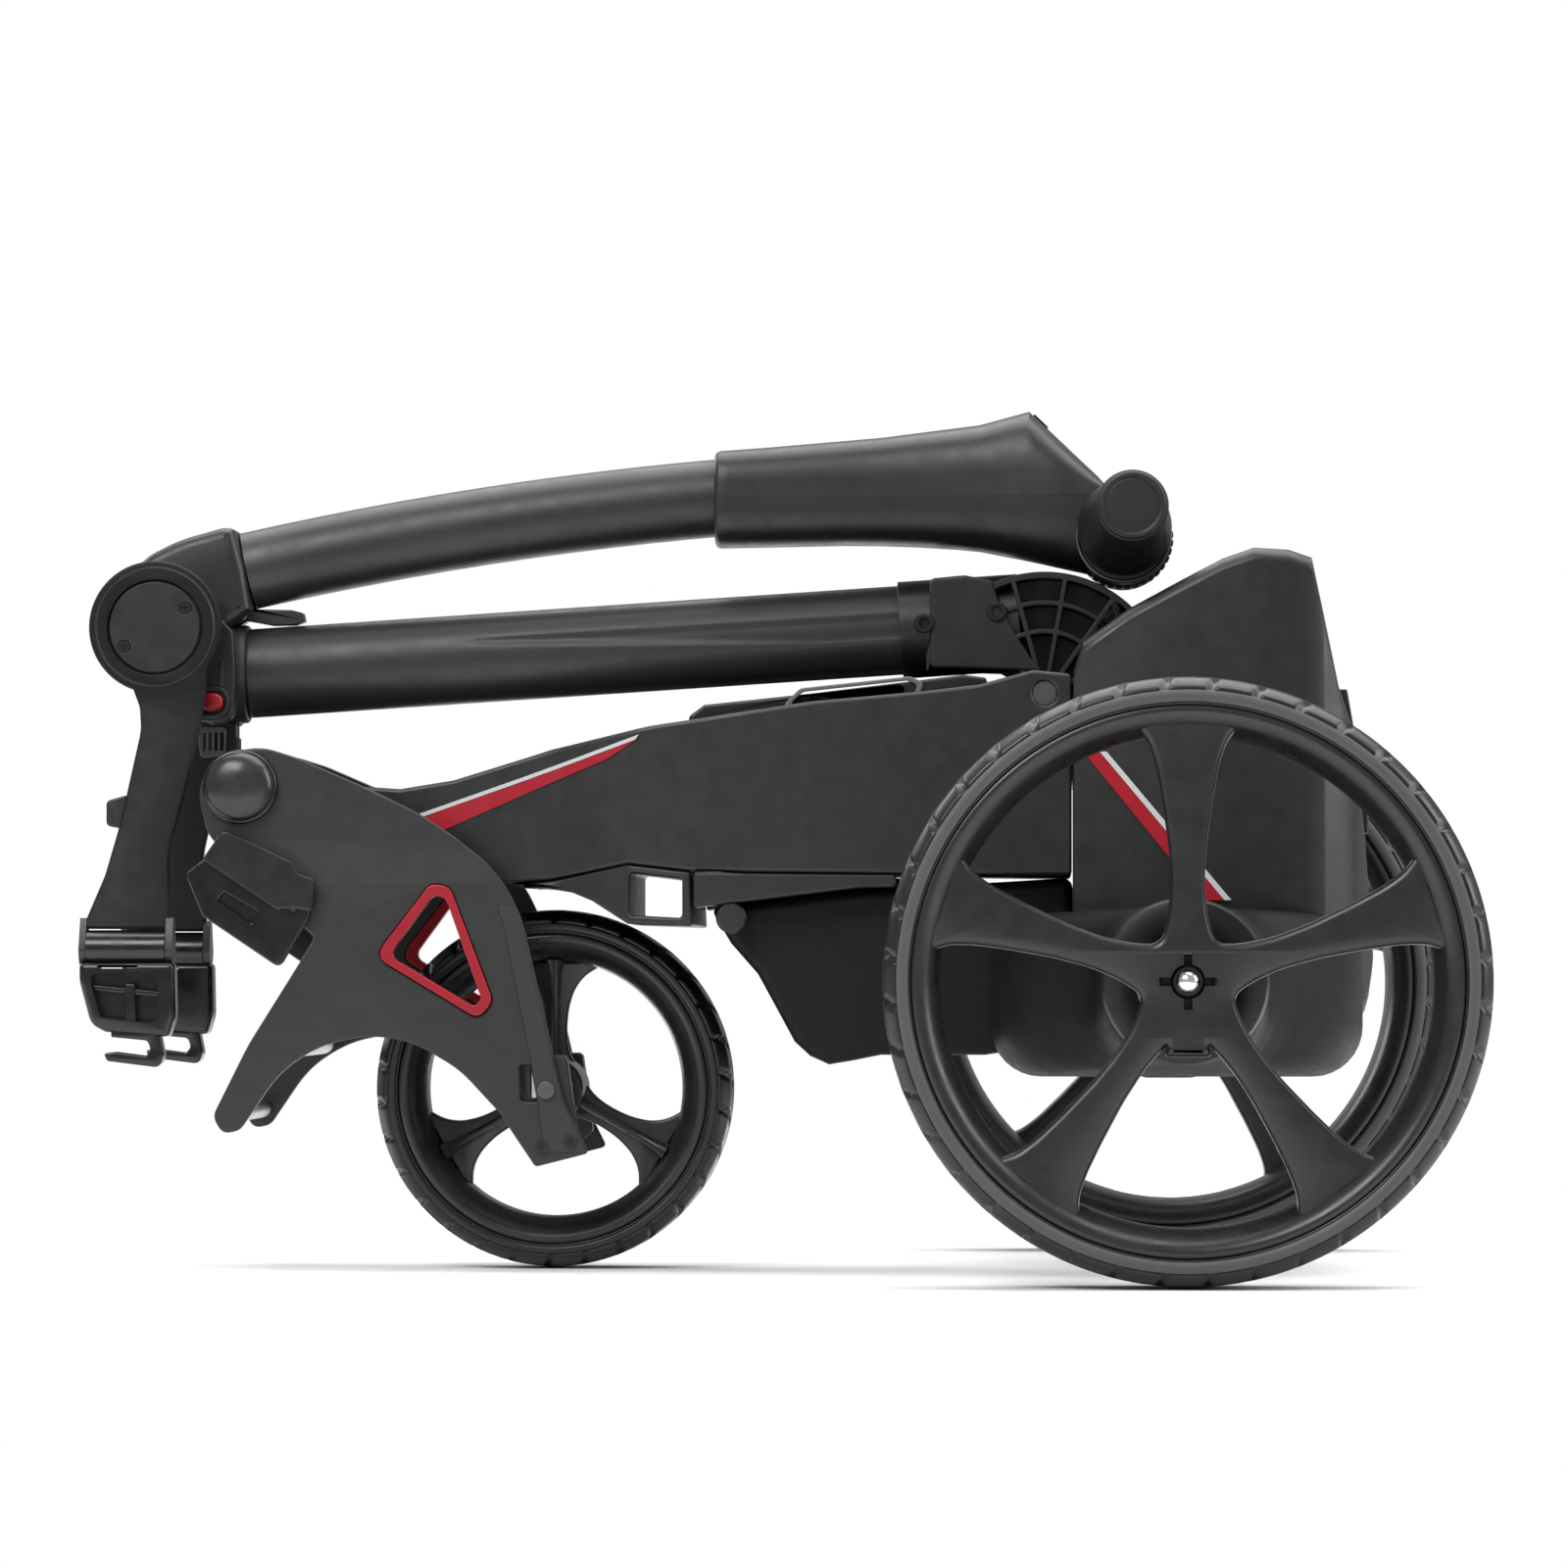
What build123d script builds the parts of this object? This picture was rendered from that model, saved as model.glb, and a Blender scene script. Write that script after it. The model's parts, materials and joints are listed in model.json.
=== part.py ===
from build123d import *
import math
import os

# Electric golf trolley, folded. Millimetres, +Z up, floor at Z = 0.
# Design datum: X runs from the bag arms (negative) to the rear wheels (positive),
# Y runs from the left rear wheel (negative) to the right one (positive).
FRAME_SHIFT = 6.1            # moves the datum to the middle of the finished box

# rear wheels and drive
REAR_X = 216.0
REAR_Z = 150.0
REAR_R = 150.0
REAR_Y = 263.0
TYRE_HALF = 32.0
AXLE_R = 8.0
HUB_BORE_R = 8.06
GEAR_MODULE = 2.0
GEAR_TEETH = 40
PINION_TEETH = 10
MOTOR_X = REAR_X - GEAR_MODULE * (GEAR_TEETH + PINION_TEETH) / 2
MOTOR_R = 29.0

# front wheel and its fork
FRONT_X = -112.0
FRONT_Z = 94.0
FRONT_R = 94.0
FORK_PIVOT_X = -271.0
FORK_PIVOT_Z = 251.0
FORK_IN = 74.0
FORK_OUT = 80.0

# folding shafts
MAIN_X = 146.0
MAIN_Z = 299.0
QUADRANT_R = 66.0
HUB_X = -318.0
HUB_Z = 335.0
HUB_R = 33.2
PIN_R = 6.0
PIN_BORE_R = 6.06
CHANNEL_HALF = 33.0
BRACKET_HALF = 27.0

# lower tube, a straight oval
LOWER_START = (-266.2, 0.0, 313.6)
LOWER_END = (128.0, 0.0, 339.3)
LOWER_HALF_H = 23.5
LOWER_HALF_W = 19.0

# handle cross bar
BAR_X = 187.5
BAR_Z = 383.5
BAR_R = 25.0
DIAL_R = 26.4


def y_cylinder(x, z, radius, y_low, y_high):
    """Round bar along Y between two stations."""
    middle = (y_low + y_high) / 2
    return Pos(x, middle, z) * Cylinder(radius, y_high - y_low, rotation=(90, 0, 0))


def side_prism(points, y_low, y_high, radius=0.0):
    """Prism of an X-Z outline between two Y stations, corners rounded."""
    if radius > 0:
        outline = FilletPolyline(*points, radius=radius, close=True)
    else:
        outline = Polyline(*points, close=True)
    plane = Plane(origin=(0, y_high, 0), x_dir=(1, 0, 0), z_dir=(0, -1, 0))
    return extrude(plane * make_face(outline), amount=y_high - y_low)


def plan_prism(half_points, z_low, z_high):
    """Prism of a plan outline that is mirrored about Y = 0."""
    mirrored = [(x, -y) for x, y in reversed(half_points)]
    face = make_face(Polyline(*(half_points + mirrored), close=True))
    return extrude(Plane.XY.offset(z_low) * face, amount=z_high - z_low)


def block(x_low, x_high, y_low, y_high, z_low, z_high):
    """Box between six planes."""
    centre = ((x_low + x_high) / 2, (y_low + y_high) / 2, (z_low + z_high) / 2)
    return Pos(*centre) * Box(x_high - x_low, y_high - y_low, z_high - z_low)


def other_side(part):
    """Mirror image across the middle plane."""
    return mirror(part, about=Plane.XZ)


def both_sides(part):
    """A left piece together with its mirror image on the right."""
    return part + other_side(part)


def left_half(part):
    return part & block(-500, 500, -400, 0, -50, 600)


def right_half(part):
    return part & block(-500, 500, 0, 400, -50, 600)


def ring(x, z, outer, inner, y_low, y_high):
    return y_cylinder(x, z, outer, y_low, y_high) - y_cylinder(x, z, inner, y_low - 1, y_high + 1)


def cross_head(x, z, radius, y_face, height):
    """Screw head with a cross recess in its outer face."""
    head = y_cylinder(x, z, radius, y_face, y_face + height)
    slot = block(x - radius * 0.6, x + radius * 0.6, y_face - 1, y_face + 0.8, z - 0.45, z + 0.45)
    cross = block(x - 0.45, x + 0.45, y_face - 1, y_face + 0.8, z - radius * 0.6, z + radius * 0.6)
    return head - slot - cross


# ---------------------------------------------------------------- chassis

CHASSIS_SIDE = [(-283, 240), (-279, 266), (-255, 263), (-212, 252), (-190, 250.5), (-162, 255),
                (-110, 271), (-58, 282.6), (26, 295), (82, 300), (112, 303.5), (140, 311),
                (160, 309), (160, 205), (69, 206), (-36, 207), (-70, 211), (-110, 203),
                (-133, 201), (-200, 214), (-262, 235)]
CHASSIS_PLAN = [(-290, 56), (-125, 58), (-104, 63), (-66, 80), (-30, 82), (-8, 87), (160, 88)]
CHASSIS_PLAN_IN = [(-286, 52.5), (-125, 54.5), (-104, 59.5), (-66, 76.5), (-30, 78.5), (-8, 83.5),
                   (156.5, 84.5)]
BAY_FRONT = -41.0
BAY_HALF = 66.0
FLOOR_Z = 212.0


def hinge_clearance():
    """Room that the ribbed quadrant and the lower tube need to turn."""
    return y_cylinder(MAIN_X, MAIN_Z, QUADRANT_R + 2, -CHANNEL_HALF, CHANNEL_HALF)


def chassis_outer():
    return side_prism(CHASSIS_SIDE, -100, 100) & plan_prism(CHASSIS_PLAN, 150, 330)


def make_chassis():
    """Hollow main moulding with an open battery bay and pivot bosses."""
    outer = chassis_outer()
    inside = [(-240, 240), (-190, 240), (-162, 249), (-110, 265), (-58, 276.5), (26, 289),
              (112, 297), (156, 297), (156, 209.5), (69, 210), (-36, 211), (-70, 215.5),
              (-133, 207), (-200, 220)]
    hollow = side_prism(inside, -100, 100) & plan_prism(CHASSIS_PLAN_IN, 150, 330)
    bay = block(BAY_FRONT, 118, -BAY_HALF, BAY_HALF, FLOOR_Z, 330)
    main_boss = y_cylinder(MAIN_X, MAIN_Z, 11, CHANNEL_HALF, 86)
    nose_boss = y_cylinder(FORK_PIVOT_X, FORK_PIVOT_Z, 18, 50, FORK_IN - 0.5)
    shell = outer - hollow - bay
    shell += main_boss + other_side(main_boss) + nose_boss + other_side(nose_boss)
    shell -= hinge_clearance()
    shell -= y_cylinder(MAIN_X, MAIN_Z, PIN_BORE_R, -90, 90)
    shell -= y_cylinder(FORK_PIVOT_X, FORK_PIVOT_Z, PIN_BORE_R, -100, 100)
    return shell


def make_front_beam():
    """Arm under the chassis that ends in a square accessory sleeve."""
    side = [(-133, 200), (-110, 202.4), (-70, 210.6), (-37.2, 206.7), (-36, 178.8), (-70, 180),
            (-89, 192), (-100, 196.5), (-115, 199)]
    beam = side_prism(side, -84, 84) & plan_prism(CHASSIS_PLAN, 150, 330)
    sleeve_hole = side_prism([(-69, 206.8), (-41.5, 203.4), (-41.5, 183), (-69, 184.5)],
                             -100, 100, 2)
    return beam - sleeve_hole


def make_side_rail():
    """Ledge along the foot of the left chassis wall, with its end stop."""
    rail = side_prism([(-35.5, 206.5), (69, 205.5), (69, 199), (50, 198.5),
                       (-29, 189), (-35.5, 188)], -86, -64)
    stop = y_cylinder(-16, 183, 8, -84, -70)
    return rail + stop


def make_under_rails():
    """Front beam and both ledges, the rails on which the chassis rests."""
    return make_front_beam() + both_sides(make_side_rail())


def make_belly_pan():
    """Tub that hangs below the chassis and covers the drive."""
    side = [(-28, 188.5), (50, 198), (69, 198.5), (160.5, 204), (160.5, 112), (135, 115), (115, 112),
            (61, 112), (46, 109), (34, 107), (24, 111.5), (16, 119), (9, 132), (-3, 154), (-17, 170)]
    inner = [(-16, 184), (50, 192), (150, 198), (165, 198), (165, 117), (115, 116), (61, 116),
             (34, 111), (27, 115), (13, 135), (1, 156), (-13, 172)]
    return side_prism(side, -66, 66) - side_prism(inner, -62, 62)


def make_battery_case():
    return block(-39, 75, -63, 63, FLOOR_Z + 1, 280)


def make_battery_lid():
    """Lid with hand holds in its long edges and a carry bar across the middle."""
    side = [(-39, 281), (-39, 288), (-31, 294), (26, 300), (75, 306), (104, 309.5), (116, 308),
            (116, 299.5), (76, 296), (76, 281)]
    lid = side_prism(side, -63, 63)
    hold = side_prism([(10, 291), (18, 297.5), (72, 303), (70, 294)], -70, 70)
    middle = block(0, 80, -40, 40, 286, 320)
    lid = lid - hold + (hold & block(0, 80, -44, 44, 270, 330)) - middle - hinge_clearance()
    return lid + y_cylinder(36, 292, 4.5, -41, 41)


def make_battery_plug():
    return block(-53, -39.2, -12, 12, 225, 245)


STRIPE_PLAN = [(-190, 57.5), (-125, 59), (-104, 64), (-66, 81), (-60, 81.2)]


def nose_band(points):
    """Thin band that follows the flare of the chassis nose on both sides."""
    return side_prism(points, -90, 90) & plan_prism(STRIPE_PLAN, 200, 300)


def rear_band(points):
    """Thin band on both sides of the rear housing."""
    left = side_prism(points, -92.6, -91.2)
    return left + other_side(left)


def make_stripes_red():
    """Coloured bands on nose and rear housing."""
    nose = nose_band([(-180, 235), (-167, 229), (-142, 240), (-112, 253), (-80, 266), (-66, 275)])
    rear = rear_band([(166, 268.5), (174, 268.5), (238, 192), (228, 192)])
    return (nose - chassis_outer()) + rear


def make_stripes_white():
    nose = nose_band([(-183, 236.4), (-180, 235.3), (-66, 275.3), (-64, 278)])
    rear = rear_band([(174.4, 268.5), (178, 268.5), (242, 192), (238.4, 192)])
    return (nose - chassis_outer()) + rear


# ---------------------------------------------------------------- rear housing

REAR_SIDE = [(161, 311), (166, 326), (190, 343), (214, 356), (238, 368.5), (254, 374), (272, 373),
             (284, 369), (298, 303), (305, 282), (312, 227), (316.5, 164), (315, 146), (311, 132),
             (297, 121), (259, 108), (221, 100.5), (198, 100.5), (161, 112)]
REAR_SIDE_IN = [(165, 309), (169, 323), (192, 339), (216, 352), (240, 364.5), (255, 369.5),
                (270, 369), (280, 366), (293, 303), (300, 282), (307, 227), (311.5, 164),
                (310, 147), (307, 136), (295, 126), (258, 113), (221, 105.5), (198, 105.5),
                (165, 116)]
REAR_PLAN = [(150, 88), (262, 91), (290, 86), (306, 74), (317, 52), (318, 0.001)]
REAR_PLAN_IN = [(150, 84), (260, 87), (288, 82), (303, 71), (313, 50), (314, 0.001)]
CAVITY_TOP = 246.0


def tube_channel():
    """Open channel that takes the lower tube when the shaft is up."""
    outline = [(197.4, 252.8), (345, 416.8), (345, 460), (100, 460), (100, 290)]
    return side_prism(outline, -CHANNEL_HALF, CHANNEL_HALF)


def housing_outer():
    return side_prism(REAR_SIDE, -100, 100) & plan_prism(REAR_PLAN, 90, 390)


def make_rear_housing():
    """Tall cheeks, back wall and the room for motor and gearbox."""
    outer = housing_outer()
    inner = side_prism(REAR_SIDE_IN, -100, 100) & plan_prism(REAR_PLAN_IN, 90, 390)
    cheek_room = inner & block(150, 330, CHANNEL_HALF + 3.5, 100, 90, 390)
    drive_room = inner & block(150, 330, -100, 100, 90, 236)
    shell = outer - cheek_room - other_side(cheek_room) - drive_room
    shell -= block(150, 170, -60, 60, 117, 198)
    shell -= tube_channel()
    shell -= hinge_clearance()
    shell -= y_cylinder(REAR_X, REAR_Z, 13.2, -120, 120)
    return shell


def make_rear_seam():
    """Raised latch strip on the back face of the housing."""
    return side_prism([(298.4, 303), (304.2, 303), (309, 276), (315, 240), (315.2, 227.5),
                       (312.4, 227.5), (305.4, 282)], -30, 30)


def make_leg():
    """Left leg that carries the axle out to the wheel."""
    root = Plane(origin=(214, -74, 143), x_dir=(1, 0, 0), z_dir=(0, -1, 0))
    tip = Plane(origin=(REAR_X, -206, REAR_Z), x_dir=(1, 0, 0), z_dir=(0, -1, 0))
    outer = loft([root * RectangleRounded(192, 84, 30), tip * RectangleRounded(80, 78, 38)])
    inner = loft([root * RectangleRounded(184, 76, 26), tip * RectangleRounded(72, 70, 34)])
    flange = y_cylinder(REAR_X, REAR_Z, 42, -222, -205)
    leg = outer - inner + flange - housing_outer()
    return leg - y_cylinder(REAR_X, REAR_Z, 13.2, -230, -80)


def make_axle_bearings():
    """Bearing in each leg end, as separate rings."""
    left = ring(REAR_X, REAR_Z, 13.0, AXLE_R + 0.05, -221, -212.2)
    return left + other_side(left)


# ---------------------------------------------------------------- drive train

def gear(teeth, width, phase):
    """Straight toothed wheel in the X-Z plane, centred on the origin."""
    pitch = GEAR_MODULE * teeth / 2
    step = 2 * math.pi / teeth
    points = []
    for index in range(teeth):
        angle = phase + index * step
        for share, radius in ((-0.27, pitch - 2.2), (-0.10, pitch + 1.5),
                              (0.10, pitch + 1.5), (0.27, pitch - 2.2)):
            points.append((radius * math.cos(angle + share * step),
                           radius * math.sin(angle + share * step)))
    return side_prism(points, -width / 2, width / 2)


def make_drive_gear():
    wheel = Pos(REAR_X, 27, REAR_Z) * gear(GEAR_TEETH, 12, 0.0)
    for index in range(6):
        angle = math.radians(60 * index + 30)
        wheel -= y_cylinder(REAR_X + 24 * math.cos(angle), REAR_Z + 24 * math.sin(angle), 7, 10, 40)
    return wheel - y_cylinder(REAR_X, REAR_Z, AXLE_R, 10, 40)


def make_motor_pinion():
    """Motor shaft with its pinion, one turning piece."""
    pinion = Pos(MOTOR_X, 27, REAR_Z) * gear(PINION_TEETH, 14, math.pi / PINION_TEETH)
    return pinion + y_cylinder(MOTOR_X, REAR_Z, 4, -50, 36)


def make_drive_axle():
    shaft = y_cylinder(REAR_X, REAR_Z, AXLE_R, -289, 289)
    dome = Pos(REAR_X, -289, REAR_Z) * Sphere(6.0)
    return shaft + dome + other_side(dome)


def gearbox_outline(grow):
    """Pear shape round the big gear and the pinion."""
    big = Pos(REAR_X, REAR_Z) * Circle(42 + grow)
    small = Pos(MOTOR_X, REAR_Z) * Circle(18 + grow)
    bridge = make_face(Polyline((MOTOR_X, REAR_Z - 18 - grow), (MOTOR_X, REAR_Z + 18 + grow),
                                (REAR_X, REAR_Z + 38 + grow), (REAR_X, REAR_Z - 38 - grow),
                                close=True))
    return big + small + bridge


def pear_prism(grow, y_low, y_high):
    plane = Plane(origin=(0, y_high, 0), x_dir=(1, 0, 0), z_dir=(0, -1, 0))
    return extrude(plane * gearbox_outline(grow), amount=y_high - y_low)


def make_gearbox():
    case = pear_prism(2.2, 15, 40) - pear_prism(0.4, 18, 37)
    case -= y_cylinder(REAR_X, REAR_Z, AXLE_R + 0.4, 0, 50)
    return case - y_cylinder(MOTOR_X, REAR_Z, 4.5, 0, 36.9)


def make_gearbox_halves():
    """Two bolted case halves, as separate solids."""
    case = make_gearbox()
    return (case & block(0, 400, 0, 26.98, 0, 300)) + (case & block(0, 400, 27.02, 60, 0, 300))


def make_motor():
    """Motor can with end bell and cooling slots."""
    can = y_cylinder(MOTOR_X, REAR_Z, MOTOR_R, -52, 8)
    bell = y_cylinder(MOTOR_X, REAR_Z, MOTOR_R - 5, 8, 14.8)
    room = y_cylinder(MOTOR_X, REAR_Z, MOTOR_R - 3, -49, 5)
    motor = can + bell - room - y_cylinder(MOTOR_X, REAR_Z, 4.4, -51, 20)
    for index in range(8):
        slot = Pos(0, 0, MOTOR_R) * Box(4, 24, 10)
        motor -= Pos(MOTOR_X, -22, REAR_Z) * Rot(0, 45 * index, 0) * slot
    return motor


def make_controller():
    """Speed controller with cooling fins."""
    box = block(20, 100, -45, 45, 150, 172)
    for index in range(9):
        box += block(24 + 8 * index, 27 + 8 * index, -42, 42, 172, 182)
    return box


# ---------------------------------------------------------------- wheels

def rim_profile(throat_mid, throat_edge, lip, half):
    """Half section of a rim, revolved about Y by the caller."""
    seat = lip - 2.5
    return [(throat_mid, 0), (throat_mid + 0.8, -half * 0.6), (throat_edge, -half + 1.5),
            (throat_edge + 2.5, -half), (lip - 2.0, -half), (lip, -half + 1.6), (lip, -half + 4),
            (seat, -half + 5.2), (seat, half - 5.2), (lip, half - 4), (lip, half - 1.6),
            (lip - 2.0, half), (throat_edge + 2.5, half), (throat_edge, half - 1.5),
            (throat_mid + 0.8, half * 0.6)]


def tyre_profile(lip, shoulder, crown, half, rim_half):
    """Section of a low tyre that sits on the rim lip."""
    seat = lip - 2.45
    edge = rim_half - 4.2
    inner = Polyline((lip + 0.05, edge), (seat, edge - 1.2), (seat, -edge + 1.2),
                     (lip + 0.05, -edge))
    low = Line((lip + 0.05, -edge), (lip + 0.05, -half + 1.0))
    side_low = ThreePointArc((lip + 0.05, -half + 1.0), ((lip + shoulder) / 2, -half - 0.3),
                             (shoulder, -half + 0.6))
    edge_low = Line((shoulder, -half + 0.6), (crown - 3.5, -half + 4.5))
    tread = ThreePointArc((crown - 3.5, -half + 4.5), (crown, 0), (crown - 3.5, half - 4.5))
    edge_high = Line((crown - 3.5, half - 4.5), (shoulder, half - 0.6))
    side_high = ThreePointArc((shoulder, half - 0.6), ((lip + shoulder) / 2, half + 0.3),
                              (lip + 0.05, half - 1.0))
    high = Line((lip + 0.05, half - 1.0), (lip + 0.05, edge))
    return make_face(inner + low + side_low + edge_low + tread + edge_high + side_high + high)


def spoke(edge, y_low, y_high):
    """Spoke that points up; its edge is given as (half width, radius) points."""
    right = Spline(*edge)
    left = Spline(*[(-half, radius) for half, radius in reversed(edge)])
    top = Line(edge[-1], (-edge[-1][0], edge[-1][1]))
    foot = Line((-edge[0][0], edge[0][1]), edge[0])
    plane = Plane(origin=(0, y_high, 0), x_dir=(1, 0, 0), z_dir=(0, -1, 0))
    return extrude(plane * make_face(right + top + left + foot), amount=y_high - y_low)


REAR_SPOKE = [(22, 10), (11.5, 30), (8, 48), (9.2, 66), (12.6, 90), (16.4, 122.5)]
FRONT_SPOKE = [(11, 6), (6.4, 22), (5.6, 34), (8, 50), (14, 67.5)]


def make_rear_rim():
    """Left rim: a barrel, and a five-spoked spider near its outer face that meets its throat."""
    barrel = revolve(make_face(Polyline(*rim_profile(121, 124.6, 136, 31), close=True)), Axis.Y)
    spider = y_cylinder(0, 0, 24, -27.5, 26)
    for index in range(5):
        spider += Rot(0, 72 * index, 0) * spoke(REAR_SPOKE, -27, -8)
    spider -= y_cylinder(0, 0, HUB_BORE_R, -40, 40)
    spider -= Pos(0, -28, 0) * (Box(28, 7, 4) + Box(4, 7, 28))
    spider -= barrel
    return Pos(REAR_X, -REAR_Y, REAR_Z) * Part(children=[barrel, spider])


def make_rear_tyre():
    """Left tyre with slanted grooves across its shoulders."""
    tyre = revolve(tyre_profile(136, 143, REAR_R, TYRE_HALF, 31), Axis.Y)
    groove = Pos(0, TYRE_HALF - 5, REAR_R) * Rot(0, 0, 28) * Box(3, 22, 5)
    for index in range(24):
        tyre -= Rot(0, 15 * index, 0) * groove
        tyre -= Rot(0, 15 * index + 7.5, 0) * mirror(groove, about=Plane.XZ)
    return Pos(REAR_X, -REAR_Y, REAR_Z) * tyre


def make_front_rim():
    """Small rim with three ribbed spokes."""
    barrel = revolve(make_face(Polyline(*rim_profile(66, 69, 82, 28), close=True)), Axis.Y)
    rim = barrel + y_cylinder(0, 0, 16, -30, 30)
    for index in range(3):
        arm = spoke(FRONT_SPOKE, -8, 8)
        rib = block(-2.5, 2.5, -12, 12, 10, 67.2)
        rim += Rot(0, 120 * index, 0) * (arm + rib)
    rim -= y_cylinder(0, 0, 9.0, -40, 40)
    rim -= y_cylinder(0, 0, 11.0, -40, -22) + y_cylinder(0, 0, 11.0, 22, 40)
    return Pos(FRONT_X, 0, FRONT_Z) * rim


def make_front_tyre():
    tyre = revolve(tyre_profile(82, 87.5, FRONT_R, 29, 28), Axis.Y)
    groove = Pos(0, 24, FRONT_R) * Rot(0, 0, 28) * Box(2.5, 18, 4)
    for index in range(20):
        tyre -= Rot(0, 18 * index, 0) * groove
        tyre -= Rot(0, 18 * index + 9, 0) * mirror(groove, about=Plane.XZ)
    return Pos(FRONT_X, 0, FRONT_Z) * tyre


def make_front_bearings():
    left = ring(FRONT_X, FRONT_Z, 10.95, 4.06, -29, -22.1)
    return left + other_side(left)


# ---------------------------------------------------------------- front fork

FORK_SIDE = [(-260, 272), (-241, 266), (-210, 252.6), (-179, 237.9), (-161, 226), (-143, 212),
             (-133, 200), (-124, 181), (-103, 88), (-89.7, 61.3), (-117.6, 54.2), (-137, 83),
             (-157, 104.5), (-181, 118.6), (-203, 122.4), (-228, 117.6), (-250, 104),
             (-271, 73), (-280, 71), (-285.4, 80), (-267, 117), (-232, 173), (-262, 200),
             (-288, 226), (-294, 250), (-283, 268)]
TRIANGLE = [(-172, 201), (-201, 163), (-147, 130.5), (-139.5, 140), (-162, 199)]
TRIANGLE_HOLE = [(-170, 194), (-193, 163.5), (-148, 137), (-145, 141), (-163.5, 192)]


def make_fork_plate():
    """Left side plate of the front fork and lower bag support."""
    plate = side_prism(FORK_SIDE, -FORK_OUT, -FORK_IN, 2.5)
    plate -= side_prism([(-126, 107), (-113.5, 107), (-112, 88), (-125, 88)], -90, -60, 2)
    plate -= side_prism(TRIANGLE, -90, -60, 7)
    plate -= y_cylinder(FORK_PIVOT_X, FORK_PIVOT_Z, PIN_BORE_R, -90, -60)
    plate -= y_cylinder(FRONT_X, FRONT_Z, 4.05, -90, -60)
    return plate


def make_triangle_trim():
    """Coloured lining of the left triangle opening."""
    lining = side_prism(TRIANGLE, -FORK_OUT - 1.5, -FORK_IN - 0.05, 7)
    lining -= side_prism(TRIANGLE_HOLE, -90, -60, 3.2)
    keep = side_prism([(-171.9, 200.8), (-200.8, 163), (-147.1, 130.8), (-139.7, 140),
                       (-162.1, 198.8)], -90, -60, 6.9)
    return lining & keep


def make_pivot_cap():
    """Left domed cap over the fork pivot."""
    dome = Pos(FORK_PIVOT_X, -FORK_OUT - 0.1, FORK_PIVOT_Z) * Sphere(20.5)
    dome &= y_cylinder(FORK_PIVOT_X, FORK_PIVOT_Z, 18.5, -110, -FORK_OUT - 0.1)
    dome &= block(-400, 0, -93.5, -FORK_OUT - 0.1, 0, 400)
    skirt = y_cylinder(FORK_PIVOT_X, FORK_PIVOT_Z, 18.5, -FORK_OUT - 4, -FORK_OUT - 0.1)
    return dome + skirt - y_cylinder(FORK_PIVOT_X, FORK_PIVOT_Z, PIN_BORE_R, -85, -70)


def make_fork_bridge():
    """Cross tube that ties the two fork plates together."""
    tube = y_cylinder(-243, 118, 7, -FORK_IN, FORK_IN) - y_cylinder(-243, 118, 5, -90, 90)
    second = y_cylinder(-275, 82, 5, -FORK_IN, FORK_IN) - y_cylinder(-275, 82, 3.4, -90, 90)
    return tube + second


def make_axle_carrier():
    """Left spacer block between fork plate and front hub."""
    foot = side_prism([(-124, 112), (-102, 112), (-96, 70), (-108, 60), (-122, 72)], -FORK_IN, -58, 3)
    neck = y_cylinder(FRONT_X, FRONT_Z, 9, -58, -30.6)
    return foot + neck - y_cylinder(FRONT_X, FRONT_Z, 4.05, -90, -20)


def make_front_axle():
    return y_cylinder(FRONT_X, FRONT_Z, 4.0, -FORK_OUT - 1, FORK_OUT + 1)


def make_fork_screws():
    """Two screws low on each leg, as separate solids."""
    first = cross_head(-114, 64.5, 3.6, -FORK_OUT - 1.6, 1.55)
    second = cross_head(-99.5, 67.5, 3.6, -FORK_OUT - 1.6, 1.55)
    return first + second


def make_bag_clip():
    """Left strap plate below the pivot, with its buckle slot."""
    base = side_prism([(-299, 206), (-278, 222), (-246, 209), (-234, 184), (-250, 157),
                       (-290, 184)], -FORK_OUT - 6, -FORK_OUT - 0.05, 2)
    slot = side_prism([(-282, 192), (-279, 196), (-262, 186), (-265, 181)], -90, -70, 1)
    return base - slot


def make_bag_clip_flap():
    """Left strap flap that lies over the strap plate."""
    flap = side_prism([(-290, 213), (-279, 229), (-240, 208), (-251, 187)],
                      -FORK_OUT - 10, -FORK_OUT - 6.1, 2)
    lug = side_prism([(-240, 206), (-229, 200), (-233, 188), (-245, 194)],
                     -FORK_OUT - 9, -FORK_OUT - 6.1, 1.5)
    return flap + lug


# ---------------------------------------------------------------- lower shaft

def oval_bar(start, end, half_height, half_width):
    """Straight bar of oval section between two points."""
    direction = Vector(*end) - Vector(*start)
    plane = Plane(origin=start, x_dir=(0, 1, 0), z_dir=direction)
    return extrude(plane * Ellipse(half_width, half_height), amount=direction.length)


def make_lower_tube():
    outer = oval_bar(LOWER_START, LOWER_END, LOWER_HALF_H, LOWER_HALF_W)
    inner = oval_bar(LOWER_START, LOWER_END, LOWER_HALF_H - 2.2, LOWER_HALF_W - 2.2)
    return outer - inner


BRACKET_SCREWS = ((83, 338), (121, 344))


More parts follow.
